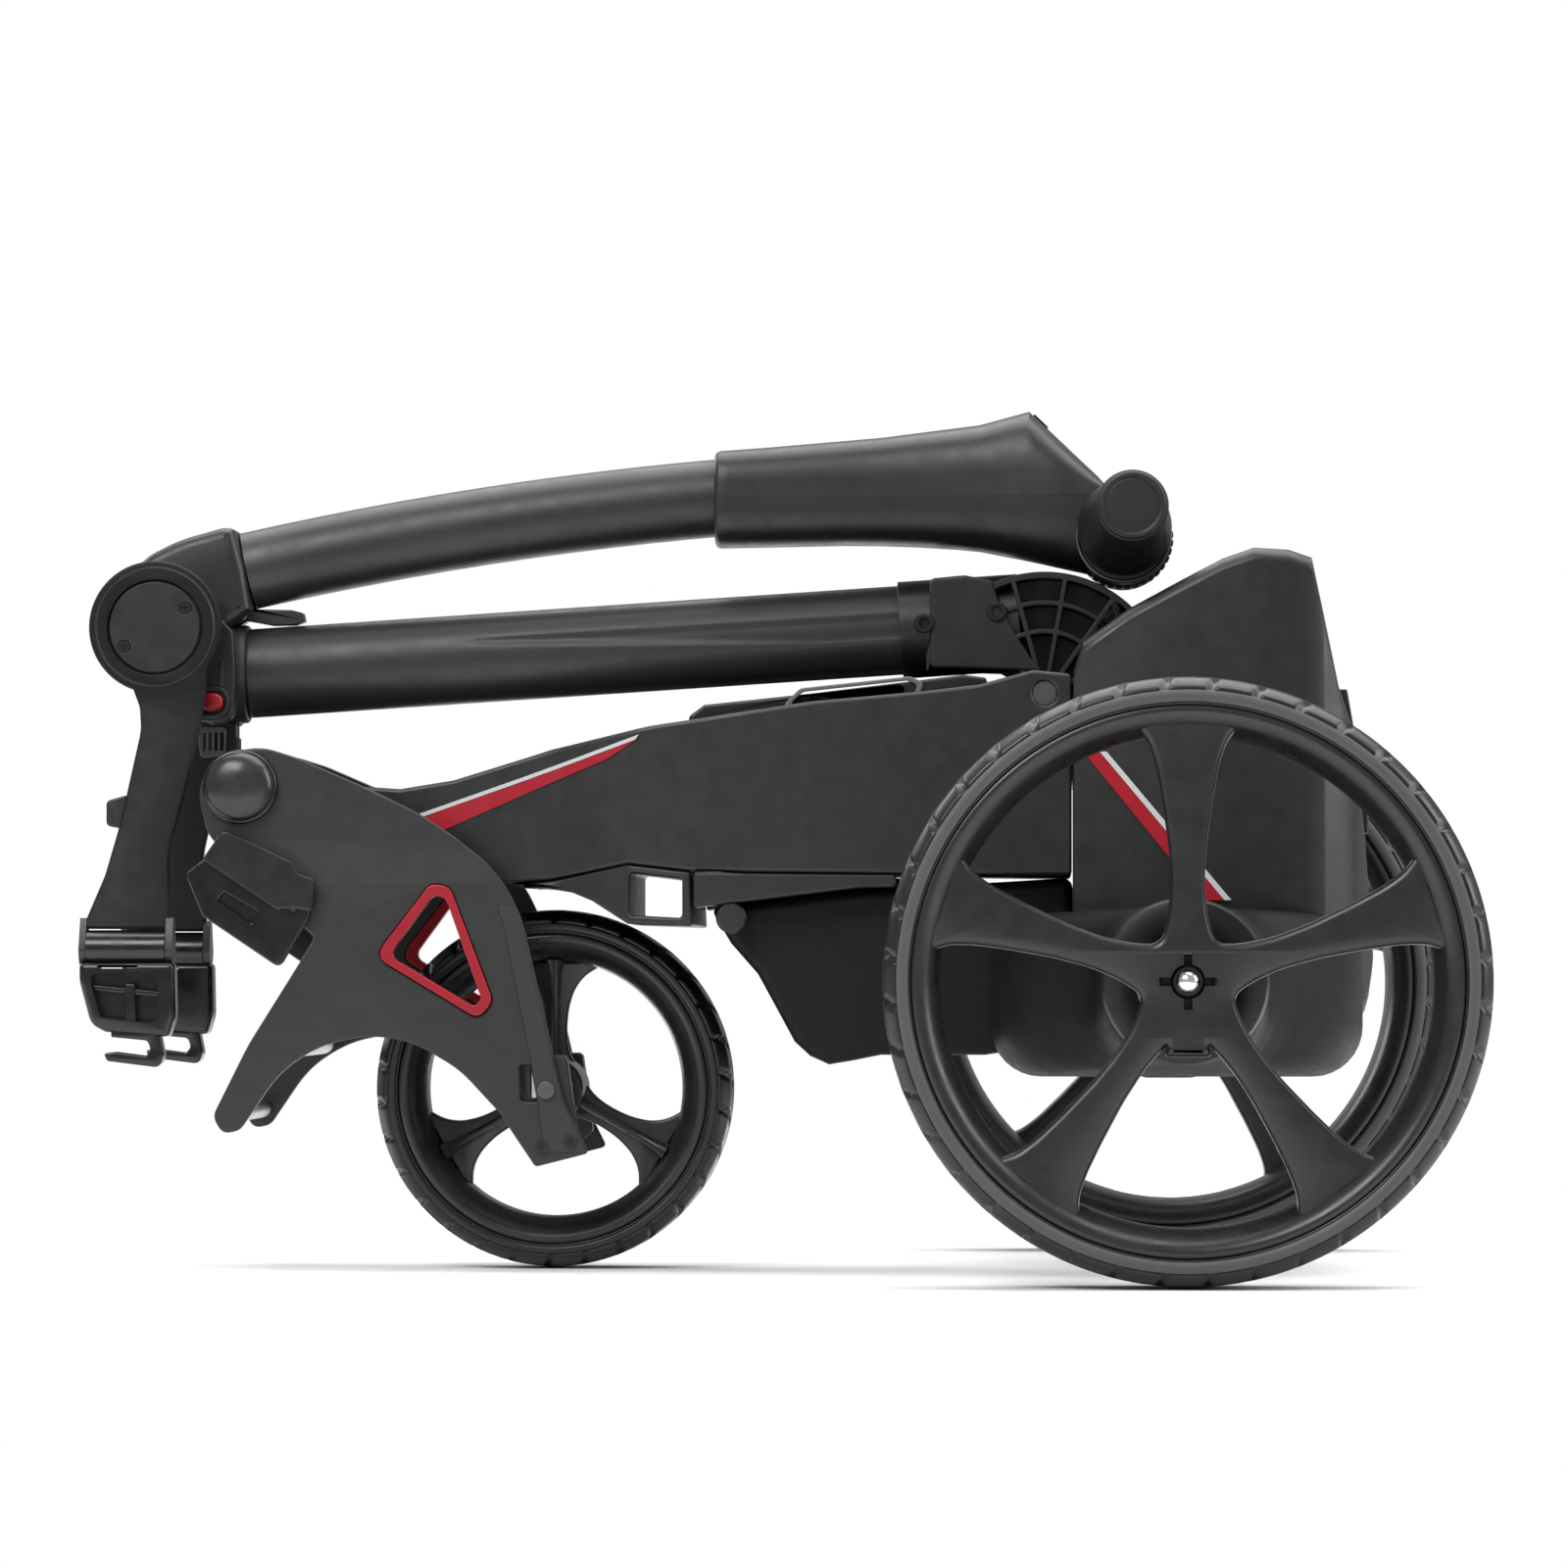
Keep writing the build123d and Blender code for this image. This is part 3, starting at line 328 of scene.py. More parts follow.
def loft(rings, caps=True):
    """Closed skin through rings that have the same number of points."""
    count = len(rings[0])
    verts = [point for ring in rings for point in ring]
    faces = []
    for row in range(len(rings) - 1):
        for index in range(count):
            after = (index + 1) % count
            faces.append((row * count + index, row * count + after,
                          (row + 1) * count + after, (row + 1) * count + index))
    if caps:
        faces.append(tuple(reversed(range(count))))
        faces.append(tuple(range((len(rings) - 1) * count, len(rings) * count)))
    return mesh_of(verts, faces)


def squircle(steps, power=1.0):
    """Points round a unit circle, squared off by a power below one."""
    points = []
    for step in range(steps):
        angle = 2 * math.pi * step / steps
        cos, sin = math.cos(angle), math.sin(angle)
        points.append((math.copysign(abs(cos) ** power, cos),
                       math.copysign(abs(sin) ** power, sin)))
    return points


def lathe(profile, axle, steps=128):
    """Ring of a closed (radius, y) profile in millimetres about the Y axis through a point."""
    rings = [[Vector((axle.x + r * MM * c, y * MM, axle.z + r * MM * s)) for r, y in profile]
             for c, s in squircle(steps)]
    return loft(rings + rings[:1], caps=False)


def left_lathe(profile, axle, steps=96):
    """Ring on the left side; the profile gives distances from the middle plane."""
    return lathe([(r, -y) for r, y in profile], axle, steps)


def rounded_corners(half_u, half_v, radius, steps):
    """(u, v) points of a rounded rectangle about its middle."""
    points = []
    for side, level, start in ((1, 1, 0), (-1, 1, 90), (-1, -1, 180), (1, -1, 270)):
        for step in range(steps + 1):
            angle = math.radians(start + 90 * step / steps)
            points.append((side * (half_u - radius) + radius * math.cos(angle),
                           level * (half_v - radius) + radius * math.sin(angle)))
    return points


def arc(x_mid, z_mid, radius, start, end, steps):
    """Points along an arc, angles in degrees."""
    result = []
    for step in range(steps + 1):
        angle = math.radians(start + (end - start) * step / steps)
        result.append((x_mid + radius * math.cos(angle), z_mid + radius * math.sin(angle)))
    return result


def cylinder_along(point, axis, radius, length):
    """Solid round bar about an axis through a point; sizes in millimetres."""
    turn = Vector((0, 0, 1)).rotation_difference(axis.normalized()).to_matrix()
    rings = []
    for level in (-length / 2, length / 2):
        rings.append([point + turn @ Vector((radius * c, radius * s, level)) * MM
                      for c, s in squircle(48)])
    return loft(rings)


def prism(outline, y_low, y_high):
    """Closed prism of a design outline (x, z) between two Y stations, in millimetres."""
    rings = [[at(x, y, z) for x, z in outline] for y in (y_low, y_high)]
    return loft(rings)


CORNER_POINTS = 7                           # points along one rounded corner


def filleted(points, radius):
    """Closed outline with rounded corners; a point may carry its own radius."""
    count = len(points)
    result = []
    for index in range(count):
        before, here, after = (Vector(points[(index + k) % count][:2]) for k in (-1, 0, 1))
        corner = points[index][2] if len(points[index]) > 2 else radius
        back, ahead = before - here, after - here
        turn = math.pi - back.angle(ahead)
        reach = min(corner * math.tan(turn / 2), 0.47 * back.length, 0.47 * ahead.length)
        start, end = here + back.normalized() * reach, here + ahead.normalized() * reach
        for step in range(CORNER_POINTS):
            t = step / (CORNER_POINTS - 1)
            point = start * (1 - t) ** 2 + here * (2 * t * (1 - t)) + end * t ** 2
            result.append((point.x, point.y))
    return result


def curved_side(points, radius):
    """Rounded run between the first and the last point, which only give its direction."""
    return filleted(points, radius)[CORNER_POINTS:-CORNER_POINTS]


def plate_mesh(outlines, y_low, y_high, edge):
    """Flat plate with holes and rounded edges: the first outline is the rim."""
    curve = bpy.data.curves.new("outline", "CURVE")
    curve.dimensions = "2D"
    curve.fill_mode = "BOTH"
    curve.bevel_resolution = 2
    curve.bevel_depth = edge * MM
    curve.offset = -edge * MM
    curve.extrude = ((y_high - y_low) / 2 - edge) * MM
    for outline in outlines:
        spline = curve.splines.new("POLY")
        spline.points.add(len(outline) - 1)
        spline.use_cyclic_u = True
        for point, (x, z) in zip(spline.points, outline):
            place = at(x, 0, z)
            point.co = (place.x, place.z, 0, 1)
    holder = new_object("outline", curve)
    graph = bpy.context.evaluated_depsgraph_get()
    mesh = bpy.data.meshes.new_from_object(holder.evaluated_get(graph))
    bpy.data.objects.remove(holder)
    upright = Matrix(((1, 0, 0, 0), (0, 0, -1, (y_low + y_high) / 2 * MM), (0, 1, 0, 0),
                      (0, 0, 0, 1)))
    mesh.transform(upright)
    return welded(mesh)


def plates(name, outlines, y_low, y_high, edge, node, slot, replaces=(), look=None):
    """The same plate on both sides of the middle plane, given for the left side."""
    finish_pair(name, plate_mesh(outlines, y_low, y_high, edge), node, slot, replaces, look)


def between(table, x):
    """Value at x of a polyline given as (x, value) pairs."""
    if x <= table[0][0]:
        return table[0][1]
    for (x0, v0), (x1, v1) in zip(table, table[1:]):
        if x <= x1:
            return v0 + (v1 - v0) * (x - x0) / (x1 - x0)
    return table[-1][1]


def carve(piece, cutter_mesh, operation="DIFFERENCE"):
    """Cuts a piece with a mesh, or keeps only what lies inside it."""
    cutter = new_object("cutter", cutter_mesh)
    cut = piece.modifiers.new("cut", "BOOLEAN")
    cut.operation = operation
    cut.solver = "EXACT"
    cut.object = cutter
    graph = bpy.context.evaluated_depsgraph_get()
    mesh = bpy.data.meshes.new_from_object(piece.evaluated_get(graph))
    piece.modifiers.clear()
    piece.data = mesh
    bpy.data.objects.remove(cutter)


# ---------------- wheels

REAR_LIP, FRONT_LIP = 136.0, 82.0           # radius at which a tyre meets its rim


def tyre_skin(middle, section, edge, depth, blocks):
    """Tyre skin round a section of (radius, y) points in millimetres. Slanted grooves of a
    depth cross its shoulders beyond the edge radius, and a zigzag groove follows the middle."""
    slant, groove_from, shoulder_from = 0.016, 0.86, 7.0
    zigzag_reach, zigzag_half, zigzag_share = 2.5, 1.1, 0.7
    rings = []
    for step, (c, s) in enumerate(squircle(blocks * 16)):
        blocks_past = step / 16
        zigzag = (abs((blocks_past * 2) % 1.0 - 0.5) * 2 - 0.5) * zigzag_reach
        ring = []
        for radius, y in section:
            along = (blocks_past + slant * y + (0.5 if y > 0 else 0.0)) % 1.0
            in_groove = abs(along - 0.5) * 2 > groove_from
            cut = 1.0 if in_groove and abs(y) > shoulder_from and radius > edge else 0.0
            if abs(y - zigzag) < zigzag_half:
                cut = zigzag_share
            r = (radius - cut * depth) * MM
            ring.append(Vector((middle.x + r * c, middle.y + y * MM, middle.z + r * s)))
        rings.append(ring)
    rings.append(rings[0])
    return loft(rings, caps=False)


def tyre_section(lip, shoulder, crown, half):
    """Points across a low tyre, from the left lip over the tread to the right lip."""
    flank = [(lip + 0.1, 7), (lip + 0.1, 1.2), (lip + 0.8, 0.2), (lip + 2.2, -0.2),
             (lip + 4.2, -0.25), (shoulder - 1.6, 0.1), (shoulder - 0.8, 0.9),
             (shoulder - 0.3, 0.9), (shoulder + 0.4, 0.5), (shoulder + 1.6, 1.2),
             (crown - 3.6, 3.0), (crown - 2.2, 5.2)]     # radius, distance in from the side
    left = [(r, inwards - half) for r, inwards in flank]
    tread = []
    for step in range(17):
        y = (half - 7) * (step / 8 - 1)
        tread.append((crown - 0.1 - 1.6 * (y / half) ** 2, y))
    return left + tread + [(r, -y) for r, y in reversed(left)]


def make_rear_tyre(side):
    node = "rear_tyre_" + side
    middle = centre(node)
    mesh = tyre_skin(middle, tyre_section(REAR_LIP, 143.0, 150.0, 32.0), 143.2, 2.1, 40)
    soften(finish_mesh(node + "_tread", mesh, node, "tyre_rubber", (node,)), 0)
    outer = -1 if side == "left" else 1
    band = [(136.6, 31.2), (137.2, 32.35), (139.5, 32.6), (142.2, 32.4), (142.8, 31.3)]
    for name, facing in (("outer", outer), ("inner", -outer)):
        profile = [(r, middle.y / MM + facing * y) for r, y in band]
        soften(finish_mesh(node + "_band_" + name, lathe(profile, middle, 160), node,
                           "tyre_rubber", (), "rubber_band"), 0)


def make_front_tyre():
    node = "front_tyre"
    middle = Vector((FRONT_AXLE.x, 0, FRONT_AXLE.z))
    mesh = tyre_skin(middle, tyre_section(FRONT_LIP, 87.5, 94.0, 29.0), 87.7, 1.9, 30)
    soften(finish_mesh(node + "_tread", mesh, node, "tyre_rubber", (node,)), 0)


RIM_FLOW = [(0.6, 0.8), (1.3, -0.1), (2.6, -0.5), (4.2, -0.4), (5.8, 0.3), (7.6, 1.6),
            (9.6, 3.6), (11.4, 6.0), (12.8, 9.0), (14.0, 13.0), (14.8, 19.0), (15.0, 28.0)]
REAR_SPOKE = [(30, 10), (46, 8.1), (66, 9.2), (88, 12.2), (106, 15.4), (117, 19), (124, 24.5),
              (129, 26)]
FRONT_SPOKE = [(19, 6.8), (30, 5.6), (42, 6.6), (52, 9.8), (59, 15), (64, 23), (67, 31)]


def make_barrel(node, lip, half):
    """Rim barrel whose rounded lips flow into its throat, and the dark bead lines."""
    middle = centre(node)
    y_mid = middle.y / MM
    flow = [(lip - inwards, half - down) for inwards, down in RIM_FLOW if half - down > 0]
    flow += [(r, -y) for r, y in reversed(flow)]
    mesh = lathe([(r, y_mid + y) for r, y in flow], middle, 192)
    by_angle(finish_mesh(node + "_barrel", mesh, node, "rim_black", (node,)), 50)
    for name, facing in SIDES:
        line = [(lip - 0.8, half - 0.6), (lip - 0.2, half + 0.25), (lip + 0.7, half + 0.2),
                (lip + 1.0, half - 0.6)]
        profile = [(r, y_mid + facing * y) for r, y in line]
        finish_mesh(node + "_bead_line_" + name, lathe(profile, middle, 192), node,
                    "rim_black", (), "gloss_black")


def star(axle, spokes, half_widths, valley, fillet, ledge=None):
    """Outline of a wheel's spokes: half_widths are (radius, half width) along one spoke and
    the valley is the radius between two. A ledge flattens the lowest valley."""
    x_mid, z_mid = design(axle)
    points = []
    for index in range(spokes):
        angle = math.radians(90 + 360 * index / spokes)
        ahead = Vector((math.cos(angle), math.sin(angle)))
        aside = Vector((-ahead.y, ahead.x))
        tip = half_widths[-1][0]
        for sign, widths in ((-1, half_widths), (1, list(reversed(half_widths)))):
            for radius, half in widths:
                place = ahead * radius + aside * (half * sign)
                points.append((x_mid + place.x, z_mid + place.y, 1 if radius == tip else 90))
        between_spokes = angle + math.pi / spokes
        if ledge and abs(math.sin(between_spokes) + 1) < 0.01:
            points.append((x_mid - ledge[0], z_mid - ledge[1], 4))
            points.append((x_mid + ledge[0], z_mid - ledge[1], 4))
        else:
            points.append((x_mid + valley * math.cos(between_spokes),
                           z_mid + valley * math.sin(between_spokes), fillet))
    return filleted(points, fillet)


def cross_socket(x_mid, z_mid):
    """Outline of the hub's round bore, with a slot through it each way."""
    bore, corner, reach, half = 8.6, 8.3, 14, 2.1
    points = []
    for start in (0, 90, 180, 270):
        angle = math.radians(start)
        ahead = Vector((math.cos(angle), math.sin(angle)))
        aside = Vector((-ahead.y, ahead.x))
        places = [ahead * reach - aside * half, ahead * reach + aside * half,
                  ahead * corner + aside * half]
        places += [Vector(place) for place in arc(0, 0, bore, start + 30, start + 60, 2)]
        places.append(ahead * half + aside * corner)
        points += [(x_mid + place.x, z_mid + place.y) for place in places]
    return points


def make_rear_spokes(side):
    """Five rounded spokes in one piece, with a cross socket at the hub."""
    node = "rear_rim_" + side
    middle = centre(node)
    x_mid, z_mid = design(middle)
    mesh = plate_mesh([star(middle, 5, REAR_SPOKE, 23, 14, (12, 37))], -290, -271, 3.6)
    recess = [(x_mid, z_mid - 21.5), (x_mid - 11.5, z_mid - 33.6), (x_mid + 11.5, z_mid - 33.6)]
    piece = finish_mesh(node + "_spokes", mesh, node, "rim_black")
    carve(piece, prism(cross_socket(x_mid, z_mid), -310, -250))
    carve(piece, prism(filleted(recess, 2.5), -310, -250))
    sleeve = left_lathe([(8.2, 272), (13, 272), (16, 268), (25, 252), (25, 238), (24, 236),
                         (8.2, 236)], REAR_AXLE)
    if side == "right":
        piece.data = mirrored(piece.data)
        sleeve = mirrored(sleeve)
    repaint(piece, "rim_black")
    by_angle(piece, 32)
    by_angle(finish_mesh(node + "_hub", sleeve, node, "rim_black"), 40)


# stations along a rib of the front wheel: radius, half width, half depth
FRONT_RIB = ((13, 2.6, 12), (30, 2.3, 11), (48, 2.5, 11.5), (60, 3.2, 14), (67.5, 5.0, 18))


def make_front_spokes():
    """Three webbed spokes with a rib along each, and the hub they meet in."""
    node = "front_rim"
    mesh = plate_mesh([star(FRONT_AXLE, 3, FRONT_SPOKE, 15, 10)], -4, 4, 1.5)
    by_angle(finish_mesh("front_rim_webs", mesh, node, "rim_black"), 32)
    for index in range(3):
        angle = math.radians(90 + 120 * index)
        ahead = Vector((math.cos(angle), 0, math.sin(angle)))
        aside = Vector((-ahead.z, 0, ahead.x))
        rings = []
        for radius, half, depth in FRONT_RIB:
            rings.append([FRONT_AXLE + (ahead * radius + aside * (half * c)
                                        + Vector((0, depth * s, 0))) * MM
                          for c, s in squircle(24, 0.7)])
        by_angle(finish_mesh("front_rim_rib_" + str(index + 1), loft(rings), node, "rim_black"))
    hub = [(9.2, -22), (11, -22), (11, -29.4), (11.6, -30), (15, -30), (16, -29), (16.6, 0),
           (16, 29), (15, 30), (11.6, 30), (11, 29.4), (11, 22), (9.2, 22)]
    by_angle(finish_mesh("front_rim_hub", lathe(hub, FRONT_AXLE, 96), node, "rim_black"), 40)


def make_axle():
    """Axle bar with dark ends and a bright domed nut in each."""
    node = "drive_axle"
    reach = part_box(node)[1].y / MM
    bar = [(0.05, -(reach - 6.4)), (7.2, -(reach - 6.4)), (8.0, -(reach - 7.2)),
           (8.0, reach - 7.2), (7.2, reach - 6.4), (0.05, reach - 6.4)]
    by_angle(finish_mesh("axle_bar", lathe(bar, REAR_AXLE, 64), node, "steel_bright", (node,),
                         "gloss_black"))
    dome = [(6.1, reach - 7.0)]
    dome += [(0.05 + r, reach - 6.0 + 5.6 / 5.9 * y) for r, y in arc(0, 0, 5.9, 0, 90, 8)]
    dome.append((0.05, reach - 7.0))
    finish_pair("axle_dome", left_lathe(dome, REAR_AXLE, 64), node, "steel_bright", angle=60)


# stations of a drive cover: y, middle x and z, width, height, corner radius
AXLE_LEG = ((-76, 214, 143, 192, 84, 26), (-92, 214, 143.6, 184, 84, 26),
            (-108, 214.3, 144.4, 170, 83, 27), (-122, 214.6, 145.4, 148, 82, 28),
            (-134, 215, 146.4, 120, 81, 28), (-144, 215.3, 147.2, 98, 80, 27),
            (-154, 215.5, 148, 88, 79, 26), (-180, 216, 149.4, 84, 78, 28),
            (-203, 216, 150, 80, 76, 32), (-206, 216, 150, 74, 70, 32))


def make_axle_legs():
    """Rounded drive covers that narrow towards the wheel hubs."""
    rings = []
    for y, x_mid, z_mid, wide, tall, radius in AXLE_LEG:
        rings.append([at(x_mid + u, y, z_mid + v)
                      for u, v in rounded_corners(wide / 2, tall / 2, radius, 8)])
    # painted shade: the drive covers take the darker copy of the shell finish
    finish_pair("axle_leg", loft(rings), "axle_legs", "shell_black", ("axle_legs",),
                "shaded_shell_black", 60)
    flange = [(14, 205), (40, 205), (41.6, 207), (42, 209), (42, 218), (40.5, 221), (37, 222),
              (24, 222), (22, 220.5), (14, 220.5)]
    finish_pair("axle_flange", left_lathe(flange, REAR_AXLE), "axle_legs", "shell_black", angle=40)


# ---------------- housings

HOUSING_TOP = [(150, 311), (161, 311), (166, 326), (190, 343), (214, 356), (238, 368.5),
               (254, 374), (272, 373), (284, 369), (298, 303), (305, 282), (312, 227),
               (316.5, 164)]
HOUSING_FOOT = [(150, 112), (161, 112), (198, 100.5), (221, 100.5), (259, 108), (297, 121),
                (311, 132), (315, 146), (316.5, 160)]
HOUSING_WIDTH = [(150, 88), (262, 91), (290, 86), (306, 74), (317, 52)]
HOUSING_STATIONS = [140, 161, 163, 166, 172, 178, 184, 190, 198, 206, 214, 222, 230, 238, 246,
                    254, 260, 266, 272, 278, 282, 284, 286, 289, 292, 295, 298, 301, 305, 309,
                    312, 314, 316.4]
HOUSING_ROUNDING = 8.5
HULL_MARGIN = 0.25                          # so much larger than the sharp shape


def housing_hull():
    """Rounded hull of the housings, through stations along X."""
    rings = []
    for x in HOUSING_STATIONS:
        low = between(HOUSING_FOOT, x) - HULL_MARGIN
        high = between(HOUSING_TOP, x) + HULL_MARGIN
        wide = between(HOUSING_WIDTH, x) + HULL_MARGIN
        half, middle = (high - low) / 2, (high + low) / 2
        radius = max(0.2, min(HOUSING_ROUNDING, wide * 0.98, half * 0.98))
        rings.append([at(x, u, middle + v) for u, v in rounded_corners(wide, half, radius, 6)])
    return loft(rings)


def make_rear_housing():
    for node in ("rear_housing_left", "rear_housing_right"):
        piece = finish_mesh(node + "_rounded", clean_copy(node), node, "shell_black", (node,))
        carve(piece, housing_hull(), "INTERSECT")
        repaint(piece, "shell_black")
        by_angle(piece)


BELLY_OUTLINE = [(-28, 188.5), (50, 198), (69, 198.5), (160.5, 204), (160.5, 112), (135, 115),
                 (115, 112), (61, 112), (46, 109), (34, 107), (24, 111.5), (16, 119), (9, 132),
                 (-3, 154), (-17, 170)]


def make_belly():
    node = "belly_pan"
    # painted shade: the belly pan takes the darker copy of the shell finish
    piece = finish_mesh(node + "_rounded", prism(BELLY_OUTLINE, -66, 66), node, "shell_black",
                        (node,), "shaded_shell_black")
    soften(piece, 5.5 * MM, 5, 50)


# ---------------- handle

HANDLE_TOP = [(-27.5, 430), (0, 432), (60, 437), (112, 443.5), (138, 450.5), (146, 443),
              (175, 415), (190, 396), (198, 386)]
HANDLE_FOOT = [(-27.5, 379), (50, 380.5), (92, 379), (112, 377), (140, 371.5), (166, 365.5),
               (187, 362), (194, 372), (198, 386)]
HANDLE_WIDTH = [(-27.5, 25), (60, 26), (120, 31), (150, 36), (200, 37)]
HANDLE_PARTING = 405.0
HALF_STEPS = 22


def half_section(x, half_width, z_base, z_tip, power):
    """Half of a superellipse standing on the parting plane, closed along it."""
    return [at(x, half_width * c, z_base + (z_tip - z_base) * s)
            for c, s in squircle(2 * HALF_STEPS, 2 / power)[:HALF_STEPS + 1]]


HANDLE_STATIONS = [-27.5, -26.8, -25, -20, 0, 20, 40, 60, 80, 100, 112, 120, 128]
UPPER_STATIONS = HANDLE_STATIONS + [134, 138, 141, 144, 150, 156, 162, 168, 174, 178]
LOWER_STATIONS = HANDLE_STATIONS + [136, 144, 152, 160, 168, 176, 182, 186, 188]
MOUTH_INSET = {-27.5: 2.0, -26.8: 0.8}      # rounds the mouth that the tube enters
DIAL_SLOT_R = 27.6
DIAL_SLOT_HALF = 8.6
BUTTON_AXIS = Vector((0.692, 0, 0.722))


def make_handle():
    slot_cut = lathe([(0.01, -DIAL_SLOT_HALF), (DIAL_SLOT_R, -DIAL_SLOT_HALF),
                      (DIAL_SLOT_R, DIAL_SLOT_HALF), (0.01, DIAL_SLOT_HALF)], DIAL, 96)
    for name, stations, tips, power, narrow, facing in (
            ("handle_upper", UPPER_STATIONS, HANDLE_TOP, 3.3, 0.0, 1),
            ("handle_lower", LOWER_STATIONS, HANDLE_FOOT, 2.8, 0.12, -1)):
        rings = []
        for x in stations:
            inset = MOUTH_INSET.get(x, 0.0)
            base = min(HANDLE_PARTING, between(HANDLE_TOP, x) - 0.5)
            rings.append(half_section(x, between(HANDLE_WIDTH, x) - inset - narrow, base,
                                      between(tips, x) - facing * inset, power))
        piece = finish_mesh(name + "_moulding", loft(rings), name, "shell_black", (name,))
        carve(piece, slot_cut.copy())
        if name == "handle_upper":
            carve(piece, cylinder_along(centre("power_button"), BUTTON_AXIS, 5.4, 12.0))
        repaint(piece, "shell_black")
        by_angle(piece, 40)
    boss = [(3.0, 8.7), (24.2, 8.7), (25.0, 9.5), (25.0, 34.5), (24.2, 36.3), (22.6, 37.0),
            (3.0, 37.0)]
    finish_pair("bar_boss", left_lathe(boss, DIAL), "handle_lower", "shell_black")


GRIP_ROOT = 37.2
GRIP_LENGTH = 47.8
GRIP_RADII = ((37.2, 23.6), (37.9, 24.4), (42, 24.6), (48, 23.6), (56, 21.8), (66, 20.2),
              (76, 19.2), (83, 18.9), (84.6, 18.5), (85.0, 17.6))     # distance out, radius


def make_grips():
    """Soft grips that swell at the root and rise towards their end discs."""
    cap = centre("grip_caps")
    root = DIAL + Vector((0, 0, 3 * MM))
    rings = []
    for y, radius in GRIP_RADII:
        middle = root.lerp(cap, (y - GRIP_ROOT) / GRIP_LENGTH)
        ring = []
        for step, (c, s) in enumerate(squircle(72)):
            ribbed = 44 < y < 80 and step % 6 == 0
            r = (radius - (0.35 if ribbed else 0.0)) * MM
            ring.append(Vector((middle.x + r * c, -y * MM, middle.z + r * s)))
        rings.append(ring)
    finish_pair("grip_sleeve", loft(rings), "grips", "grip_rubber", ("grips",))
    disc = [(0.05, 87.2), (13.0, 87.5), (13.6, 87.0), (14.4, 87.0), (15.0, 87.9), (16.4, 87.9),
            (17.4, 87.2), (17.6, 86.0), (17.6, 85.1), (0.05, 85.1)]
    finish_pair("grip_disc", left_lathe(disc, cap), "grip_caps", "grip_rubber", ("grip_caps",))
    collar = [(24.9, 36.9), (25.1, 37.6), (24.9, 38.4), (23.9, 38.4), (23.9, 36.9)]
    finish_pair("grip_root_ring", left_lathe(collar, DIAL), "grips", "steel_dark", angle=180)


# ---------------- shaft

def clamped(value):
    return min(1.0, max(0.0, value))


TUBE_HALF_WIDTH, TUBE_HALF_HEIGHT = 19.0, 23.5
FLUTE_START, FLUTE_END, FLUTE_TAPER, FLUTE_DEPTH = 116.0, 383.0, 190.0, 1.1
FLUTE_EDGE = 2.5                            # run over which the flute sinks in


def make_lower_tube():
    """Oval tube with a long shallow flute pressed into each side."""
    node = "lower_tube"
    start, end = at(-277.5, 0, 312.9), at(128.0, 0, 339.3)
    along = (end - start).normalized()
    up = Vector((-along.z, 0, along.x))
    length = (end - start).length / MM
    rows = 120
    rings = []
    for row in range(rows + 1):
        s = length * row / rows
        share = clamped((s - FLUTE_START) / FLUTE_TAPER)
        ends = clamped((s - FLUTE_START) / 12.0) * clamped((FLUTE_END - s) / 30.0)
        top_edge = 10.0 - 1.5 * share
        foot_edge = 7.0 - 13.0 * share
        ring = []
        for cos, sin in squircle(96):
            y, z = TUBE_HALF_WIDTH * cos, TUBE_HALF_HEIGHT * sin
            inside = clamped((top_edge - z) / FLUTE_EDGE) * clamped((z - foot_edge) / FLUTE_EDGE)
            press = FLUTE_DEPTH * inside * ends
            y -= math.copysign(press, y) if abs(y) > press else 0
            point = start + along * (s * MM) + up * (z * MM)
            ring.append(Vector((point.x, y * MM, point.z)))
        rings.append(ring)
    soften(finish_mesh(node + "_pressed", loft(rings), node, "tube_graphite", (node,)), 0)


HUB_X, HUB_Z = design(HUB)
ARM_FLARE = 0.24                            # sideways run per unit of drop below ARM_BEND_Z
ARM_BEND_Z = 300.0
CRADLE_PIN = (-88, 167)                     # y and z of the left cradle's pin along X
ARM_LIMB = [(-329.3, 302.3, 1), (-325.6, 293, 10), (-324.6, 281, 30), (-334, 232, 60),
            (-341, 205, 40), (-352, 177.3, 1), (-307, 177.1, 1), (-308, 218, 40),
            (-300, 250.6, 60), (-294, 283, 60), (-291.4, 302, 20), (-290.7, 313.7, 1)]
ARM_RINGS = (("arm_boss", [(6, 36.5), (31.5, 36.5), (32.5, 37.5), (32.5, 55), (6, 55)]),
             ("arm_seat", [(6, 55), (24.2, 55), (24.2, 59.4), (6, 59.4)]),
             ("arm_bead", [(30.0, 61.8), (30.5, 62.3), (31.2, 62.3), (31.7, 61.8)]))


